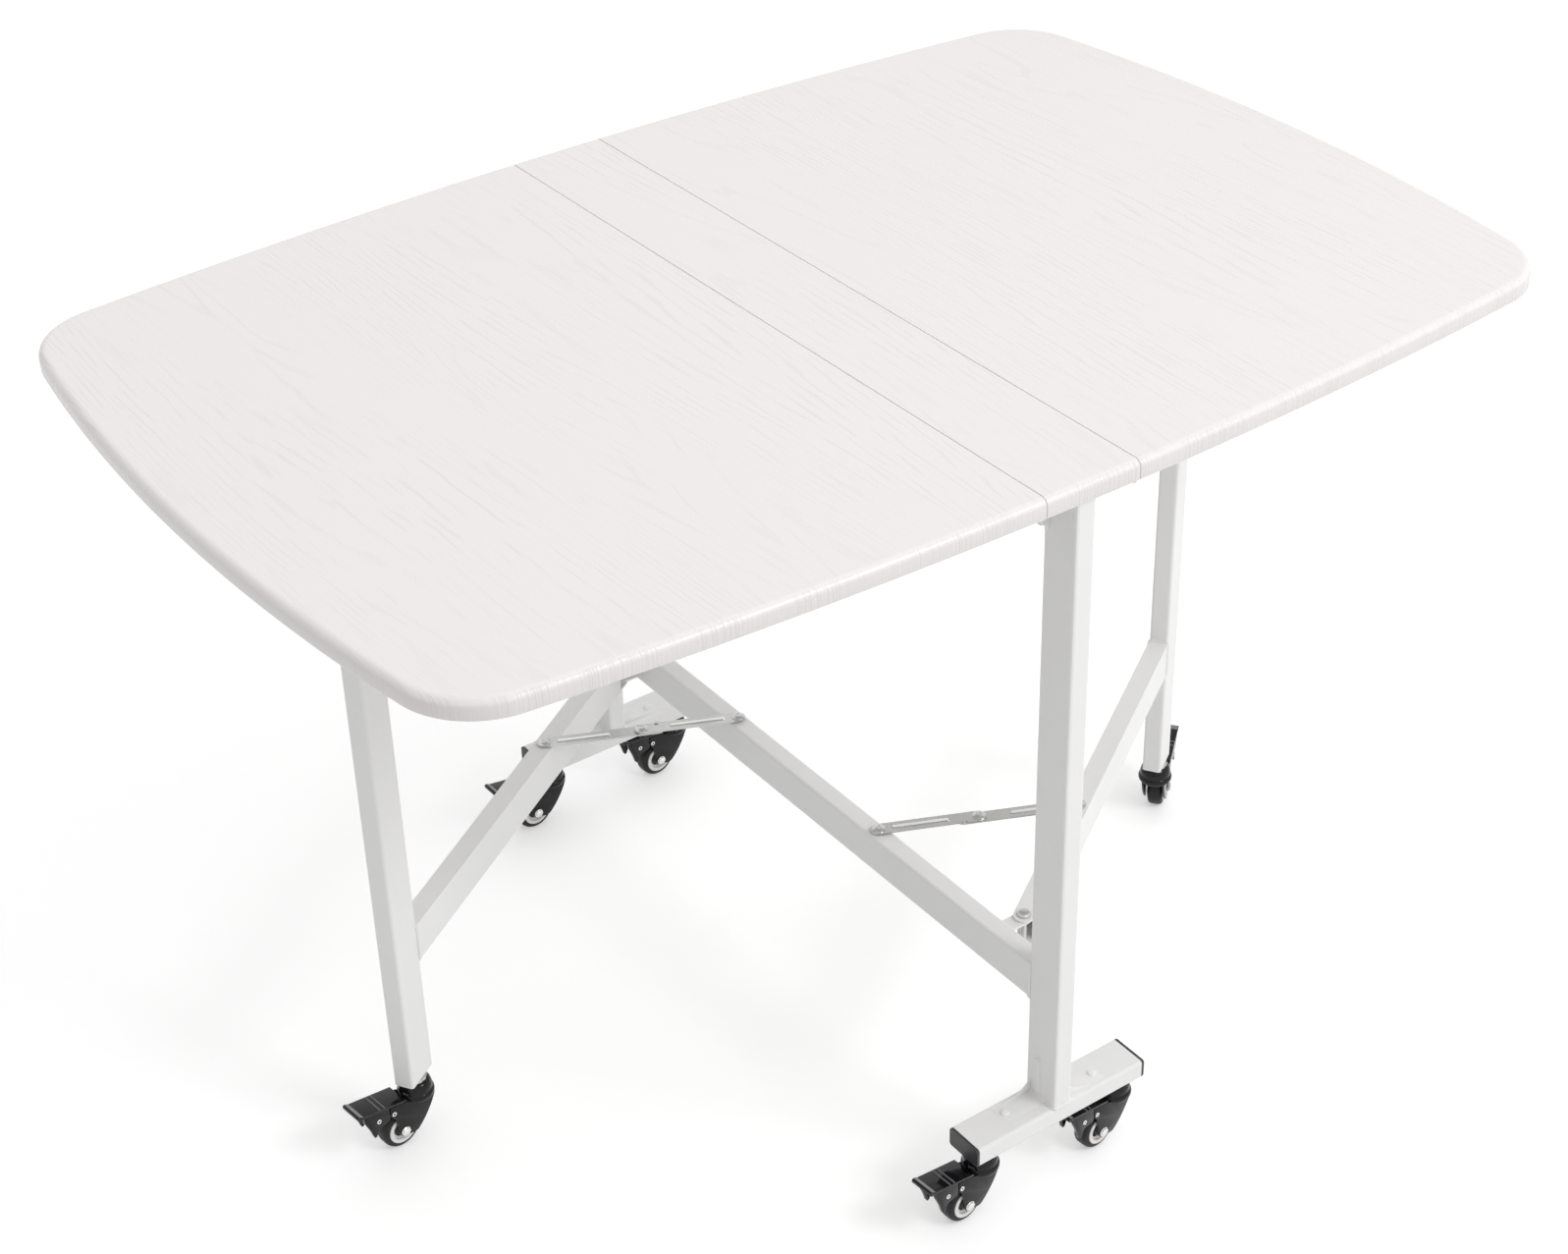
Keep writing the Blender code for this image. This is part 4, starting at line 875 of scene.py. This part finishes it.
CASTER_PLAN = (
    # piece, its mesh, look, slot, the part that it moves with, the CAD nodes that it stands for
    ("tyre", tyre_mesh, "black_rubber", "black_rubber", "roll", ("wheel",)),
    ("hub_ring", hub_ring_mesh, "hub_ring", "white_plastic", "roll", ()),
    ("hub_core", hub_core_mesh, "black_plastic", "black_plastic", "roll", ()),
    ("cup", cup_mesh, "black_paint", "black_paint", "swivel", ("fork",)),
    ("fork_plates", fork_plates_mesh, "black_paint", "black_paint", "swivel", ()),
    ("axle_hardware", axle_hardware_mesh, "bright_zinc", "zinc", "swivel", ()),
    ("pedal_plate", pedal_plate_mesh, "black_paint", "black_paint", "brake", ("pedal",)),
    ("pedal_lip", pedal_lip_mesh, "lip_wear_and_highlight", "black_plastic", "brake", ()),
    ("cheek_rivets", cheek_rivets_mesh, "bright_zinc", "zinc", "brake", ()),
)


def dress_casters():
    meshes = {shape: make() for shape, make, *_ in CASTER_PLAN}
    for name in CASTERS:
        stem, axle, pivot = caster_places(name)
        places = {"swivel": stem, "roll": axle, "brake": pivot}
        for shape, _, look, slot, part, nodes in CASTER_PLAN:
            piece(f"caster_{name}_{shape}", meshes[shape], look, f"caster_{name}_{part}", places[part],
                  [f"caster_{name}_{node}" for node in nodes])


# Welds and cleats

def bead_into(bm, path):
    """A closed weld bead along a loop of points, with its ripples."""
    count = len(path)
    turns = [2 * math.pi * j / BEAD_SIDES for j in range(BEAD_SIDES)]
    rings = []
    for k, point in enumerate(path):
        along = (path[(k + 1) % count] - path[k - 1]).normalized()
        side = along.orthogonal().normalized()
        up = along.cross(side)
        radius = BEAD_RADIUS * (1.0 + sum(share * math.sin(k * turn) for share, turn in BEAD_RIPPLES))
        rings.append([bm.verts.new(point + (side * math.cos(a) + up * math.sin(a)) * radius) for a in turns])
    for k, here in enumerate(rings):
        there = rings[(k + 1) % count]
        # The next ring may start at another turn, so its nearest corner leads
        lead = min(range(BEAD_SIDES), key=lambda j: (there[j].co - here[0].co).length)
        ahead, behind = ((there[(lead + way) % BEAD_SIDES].co - here[1].co).length for way in (1, -1))
        hand = 1 if ahead < behind else -1
        for j in range(BEAD_SIDES):
            a, b = (there[(lead + hand * i) % BEAD_SIDES] for i in (j, j + 1))
            bm.faces.new((here[j], here[(j + 1) % BEAD_SIDES], b, a))


def tube_loop(half_u, half_v):
    """Points round a tube's section, a bead step apart."""
    corners = [(half_u, half_v), (-half_u, half_v), (-half_u, -half_v), (half_u, -half_v)]
    corners = eased(corners, TUBE_CORNER, 3)
    loop = []
    for k, corner in enumerate(corners):
        start, end = Vector(corner), Vector(corners[(k + 1) % len(corners)])
        steps = max(1, round((end - start).length / BEAD_STEP))
        loop += [start.lerp(end, step / steps) for step in range(steps)]
    return loop


def post_ends():
    """Each post's corners, the Y of its inner face, and the way from there to the outside."""
    for end, way in (("near", -1), ("far", 1)):
        low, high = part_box(f"post_{end}")
        yield low, high, low.y if way > 0 else high.y, way


def dress_welds():
    """Beads where the rails meet the posts and the posts stand on the feet."""
    bm = bmesh.new()
    for low, high, face, _ in post_ends():
        for rail in ("lower_rail", "upper_rail"):
            rail_low, rail_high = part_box(rail)
            half = (rail_high.z - rail_low.z) / 2
            bead_into(bm, [Vector((u, face, rail_low.z + half + v)) for u, v in tube_loop(high.x, half)])
        middle = (low.y + high.y) / 2
        bead_into(bm, [Vector((u, middle + v, low.z)) for u, v in tube_loop(high.x, (high.y - low.y) / 2)])
    piece("frame_welds", finished(bm, "frame_welds"), "white_paint", "frame")


def dress_cleats():
    """A small cleat with a hollow edge on both sides of each post's top."""
    bm = bmesh.new()
    for _, high, face, way in post_ends():
        depth = sorted(face + way * reach for reach in CLEAT_SPAN)
        for side in (-1, 1):
            out = high.x + CLEAT_REACH
            centre = (side * out, high.z - CLEAT_RISE - CLEAT_REACH)
            bend = arc(centre, CLEAT_REACH, math.pi / 2, math.pi / 2 + side * math.pi / 2, 10)
            prism_into(bm, [(side * high.x, high.z), (side * out, high.z)] + bend, *depth)
    soften(bm, CLEAT_EASE, 2)
    piece("post_cleats", finished(bm, "post_cleats"), "white_paint", "frame")


# Brackets

def bracket_profile(t):
    """Side outline of the bent plate at thickness t, running out to a thin rim at both ends."""
    bend = arc((t + BRACKET_FILLET, t + BRACKET_FILLET), BRACKET_FILLET, 1.5 * math.pi, math.pi, 8)
    run = [(0.0, 0.0), (BRACKET_RUN, 0.0), (BRACKET_RUN, BRACKET_RIM), (BRACKET_RUN - BRACKET_FEATHER, t)]
    rise = [(t, BRACKET_RISE - BRACKET_FEATHER), (BRACKET_RIM, BRACKET_RISE), (0.0, BRACKET_RISE)]
    return run + bend + rise


def bracket_sheet_into(bm):
    """The bent plate, as thin as its rim along both edges."""
    edge, inner = BRACKET_SPAN
    sections = [(edge, BRACKET_RIM), (edge + BRACKET_FEATHER, BRACKET_THICK),
                (inner - BRACKET_FEATHER, BRACKET_THICK), (inner, BRACKET_RIM)]
    loops = [[bm.verts.new((x, y, z)) for x, z in bracket_profile(thick)] for y, thick in sections]
    sheet = [bm.faces.new(loops[0]), bm.faces.new(loops[-1])]
    for one, other in zip(loops, loops[1:]):
        for k in range(len(one)):
            j = (k + 1) % len(one)
            sheet.append(bm.faces.new((one[k], one[j], other[j], other[k])))
    bmesh.ops.recalc_face_normals(bm, faces=sheet)


def bracket_mesh():
    """Pressed corner plate with its web, rib and bolt: X away from the post, Z up from the foot."""
    t = BRACKET_THICK
    edge, inner = BRACKET_SPAN
    middle = (edge + inner) / 2
    bm = bmesh.new()
    turns = [math.pi * (1.5 - 0.5 * k / WEB_STEPS) for k in range(WEB_STEPS + 1)]
    hollow = [(WEB_RUN + (WEB_RUN - t) * math.cos(a), WEB_RISE + (WEB_RISE - t) * math.sin(a)) for a in turns]
    prism_into(bm, [(0.0, 0.0), (WEB_RUN, 0.0)] + hollow + [(0.0, WEB_RISE)], edge, edge + WEB_THICK)

    # The rib is drawn lying down, then stood up along Z against the post
    rib = stadium(RIB_FROM_FOOT, BRACKET_RISE - 2 * RIB_HALF, RIB_HALF)
    stood_up = Matrix(((0, 0, 1, 0), (0, 1, 0, middle), (1, 0, 0, 0), (0, 0, 0, 1)))
    known = set(bm.verts)
    prism_into(bm, rib, t / 2, t + RIB_RISE, "xy")
    bmesh.ops.transform(bm, matrix=stood_up, verts=added(bm, known))
    soften(bm, BRACKET_EASE, 3, 40)

    head = [(0.0, BOLT_RISE), (BOLT_RADIUS * 0.55, BOLT_RISE * 0.96), (BOLT_RADIUS * 0.95, BOLT_RISE * 0.45),
            (BOLT_RADIUS, 0.0)]
    spot = Matrix.Translation((BRACKET_RUN - BOLT_RADIUS * 1.6, middle, t))
    lathe_into(bm, head, HEAD_SIDES, spot, BOLT_EASE, 4)
    bracket_sheet_into(bm)
    return finished(bm, "bracket")


def dress_brackets():
    mesh = bracket_mesh()
    for end in ("near", "far"):
        low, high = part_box(f"post_{end}")
        foot_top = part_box(f"foot_{end}")[1].z
        for side, turn in (("right", 0.0), ("left", math.pi)):
            spin = Matrix.Translation((0, (low.y + high.y) / 2, foot_top)) @ Matrix.Rotation(turn, 4, 'Z')
            piece(f"bracket_{end}_{side}_plate", mesh, "white_paint", "frame",
                  spin @ Matrix.Translation((high.x, 0, 0)), (f"bracket_{end}_{side}",))


# Gates, stays and hinges

def dress_gate(side):
    """The bead between a gate's rail and its leg."""
    pivot = joint_place(f"gate_{side}_swing").to_2d()
    leg = joint_place(f"caster_gate_{side}_swivel_joint").to_2d()
    along = (leg - pivot).normalized()
    across = Vector((-along.y, along.x))
    low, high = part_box(f"gate_rail_{side}")
    half = (high.z - low.z) / 2
    face = leg - along * half
    path = []
    for u, v in tube_loop(half / 2, half):
        path.append((face + across * u).to_3d() + Vector((0, 0, low.z + half + v)))
    bm = bmesh.new()
    bead_into(bm, path)
    name = f"gate_{side}_weld"
    piece(name, finished(bm, name), "white_paint", f"gate_{side}")


def stay_rivet_into(bm, spot, level):
    """Stepped rivet head with its washer and a dimple, standing on a link."""
    top = STAY_HEAD_RISE
    profile = [(0.0, top + STAY_DIMPLE_RISE), (STAY_DIMPLE, top + STAY_DIMPLE_RISE)]
    profile += [(radius, top + STAY_BRIM_RISE) for radius in STAY_BRIM]
    profile += [(STAY_DOME, top * 0.85), (STAY_HEAD, top * 0.5), (STAY_HEAD, STAY_HEAD_FOOT),
                (STAY_WASHER, STAY_WASHER_THICK), (STAY_WASHER, 0.0)]
    lathe_into(bm, profile, HEAD_SIDES, Matrix.Translation((spot.x, spot.y, level)), STAY_HEAD_EASE)


def dress_stay(side):
    """The rivets of a stay's two links, and along each link a pale strip in its groove that is a painted
    highlight.
    """
    anchor, knee = (joint_place(f"stay_{side}_{name}").to_2d() for name in ("anchor", "knee"))
    far_end = 2 * knee - anchor
    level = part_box(f"stay_{side}_fixed_link")[1].z - STAY_HEAD_RISE
    for link, spots, drop in (("fixed", (anchor, knee), 0.0), ("moving", (far_end,), STAY_STEP)):
        bm = bmesh.new()
        for spot in spots:
            stay_rivet_into(bm, spot, level - drop)
        name = f"stay_{side}_{link}_rivets"
        piece(name, finished(bm, name), "rivet_zinc", f"stay_{side}_{link}")

    aim = Matrix.Rotation(math.atan2(knee.y - anchor.y, knee.x - anchor.x), 4, 'Z')
    grooves = (("fixed", anchor, FIXED_GROOVE, 0.0), ("moving", knee, MOVING_GROOVE, STAY_STEP))
    # Each groove strip is pale zinc, a painted highlight for the light the pressed groove catches
    for link, start, reach, drop in grooves:
        bm = bmesh.new()
        prism_into(bm, stadium(*reach, GROOVE_HALF), GROOVE_ROOT, GROOVE_RISE, "xy")
        soften(bm, GROOVE_EASE, 2, 40)
        name = f"stay_{side}_{link}_groove"
        place = Matrix.Translation((start.x, start.y, level - drop)) @ aim
        piece(name, finished(bm, name), "groove_painted_highlight", f"stay_{side}_{link}", place)


def dress_hinges():
    """A row of screws in each half of the two seam hinges, seen from below."""
    head = [(0.0, 0.6), (SCREW_SOCKET[0], 0.6), (SCREW_SOCKET[1], 1.0), (SCREW_RADIUS * 0.7, 0.8),
            (SCREW_RADIUS, 0.1), (SCREW_RADIUS, -0.1)]
    profile = [(radius, -rise * SCREW_RISE) for radius, rise in head]
    for side, sign in (("right", 1), ("left", -1)):
        for half, outside, body in (("strip", -sign, "frame"), ("leaf", sign, f"leaf_{side}_body")):
            low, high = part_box(f"hinge_{side}_{half}_half")
            edge = high.x if outside > 0 else low.x
            bm = bmesh.new()
            for k in range(-SCREWS_EACH_WAY, SCREWS_EACH_WAY + 1):
                spot = (edge - outside * HINGE_PLATE / 2, k * SCREW_PITCH, high.z - HINGE_PLATE_THICK)
                lathe_into(bm, profile, SMALL_SIDES, Matrix.Translation(spot), SCREW_EASE)
            name = f"hinge_{side}_{half}_screws"
            piece(name, finished(bm, name), "bright_zinc", body)


# Materials of the CAD nodes that stay

def paint_nodes():
    for name, obj in frame["nodes"].items():
        for slot in obj.material_slots:
            slot.material = LOOKS[SLOT_OF[name]]


# Floor, light and camera

def camera_pick(n, otherwise, seen):
    """One strength where the camera, metal or glass shows it, and another for light that falls on things."""
    rays = n.add("ShaderNodeLightPath").outputs
    shown = n.maths('MAXIMUM', rays["Is Camera Ray"], rays["Is Glossy Ray"])
    shown = n.maths('MAXIMUM', shown, rays["Is Transmission Ray"])
    return n.add("ShaderNodeMix", {0: shown, 2: otherwise, 3: seen}).outputs[0]


def make_world():
    """A white background, and a sky whose light rises along WORLD_SLOPE."""
    world = bpy.data.worlds.new("studio")
    bpy.context.scene.world = world
    world.use_nodes = True
    n = Nodes(world.node_tree)
    lean = n.add("ShaderNodeVectorMath", {0: n.place("Generated"), 1: WORLD_SLOPE}, operation='DOT_PRODUCT')
    background = n.tree.nodes["Background"]
    n.set(background, "Color", (1.0, 1.0, 1.0, 1.0))
    n.set(background, "Strength", camera_pick(n, n.plus(lean.outputs["Value"], WORLD_LIGHT), 1.0))


def make_floor():
    bm = bmesh.new()
    bmesh.ops.create_grid(bm, x_segments=1, y_segments=1, size=FLOOR_HALF)
    floor = bpy.data.objects.new("floor", finished(bm, "floor"))
    bpy.context.scene.collection.objects.link(floor)
    n = Material("floor", 0.75)
    n.shade(Base_Color=n.blend(n.noise((0.6, 0.6, 0.0)), *FLOOR_COLOURS), Emission_Color=(1.0, 1.0, 1.0, 1.0),
            Emission_Strength=camera_pick(n, 0.0, FLOOR_LIFT))
    floor.data.materials.append(n.material)


def make_lamps():
    for name, place, target, size, power in LAMPS:
        light = bpy.data.lights.new(name, 'AREA')
        light.shape = 'RECTANGLE'
        light.size, light.size_y = size
        light.energy = power
        lamp = bpy.data.objects.new(name, light)
        lamp.location = place
        lamp.rotation_mode = 'QUATERNION'
        lamp.rotation_quaternion = (Vector(target) - Vector(place)).to_track_quat('-Z', 'Y')
        bpy.context.scene.collection.objects.link(lamp)


def make_camera():
    azimuth, elevation = math.radians(CAMERA_AZIMUTH), math.radians(CAMERA_ELEVATION)
    level = math.cos(elevation)
    forward = Vector((-math.sin(azimuth) * level, math.cos(azimuth) * level, -math.sin(elevation)))
    right = forward.cross(Vector((0, 0, 1))).normalized()
    up = right.cross(forward)
    c, s = math.cos(CAMERA_ROLL), math.sin(CAMERA_ROLL)
    right, up = right * c + up * s, up * c - right * s
    data = bpy.data.cameras.new("camera")
    data.sensor_fit = 'HORIZONTAL'
    data.sensor_width = SENSOR_WIDTH
    data.lens = FOCAL_PIXELS / IMAGE_WIDTH * SENSOR_WIDTH
    camera = bpy.data.objects.new("camera", data)
    bpy.context.scene.collection.objects.link(camera)
    turn = Matrix((right, up, -forward)).transposed()
    camera.matrix_world = Matrix.Translation(CAMERA_PLACE) @ turn.to_4x4()
    bpy.context.scene.camera = camera


paint_nodes()
dress_top()
dress_casters()
dress_welds()
dress_cleats()
dress_brackets()
for gate_side in ("left", "right"):
    dress_gate(gate_side)
    dress_stay(gate_side)
dress_hinges()
make_world()
make_floor()
make_lamps()
make_camera()
bpy.context.scene.view_settings.view_transform = 'Standard'
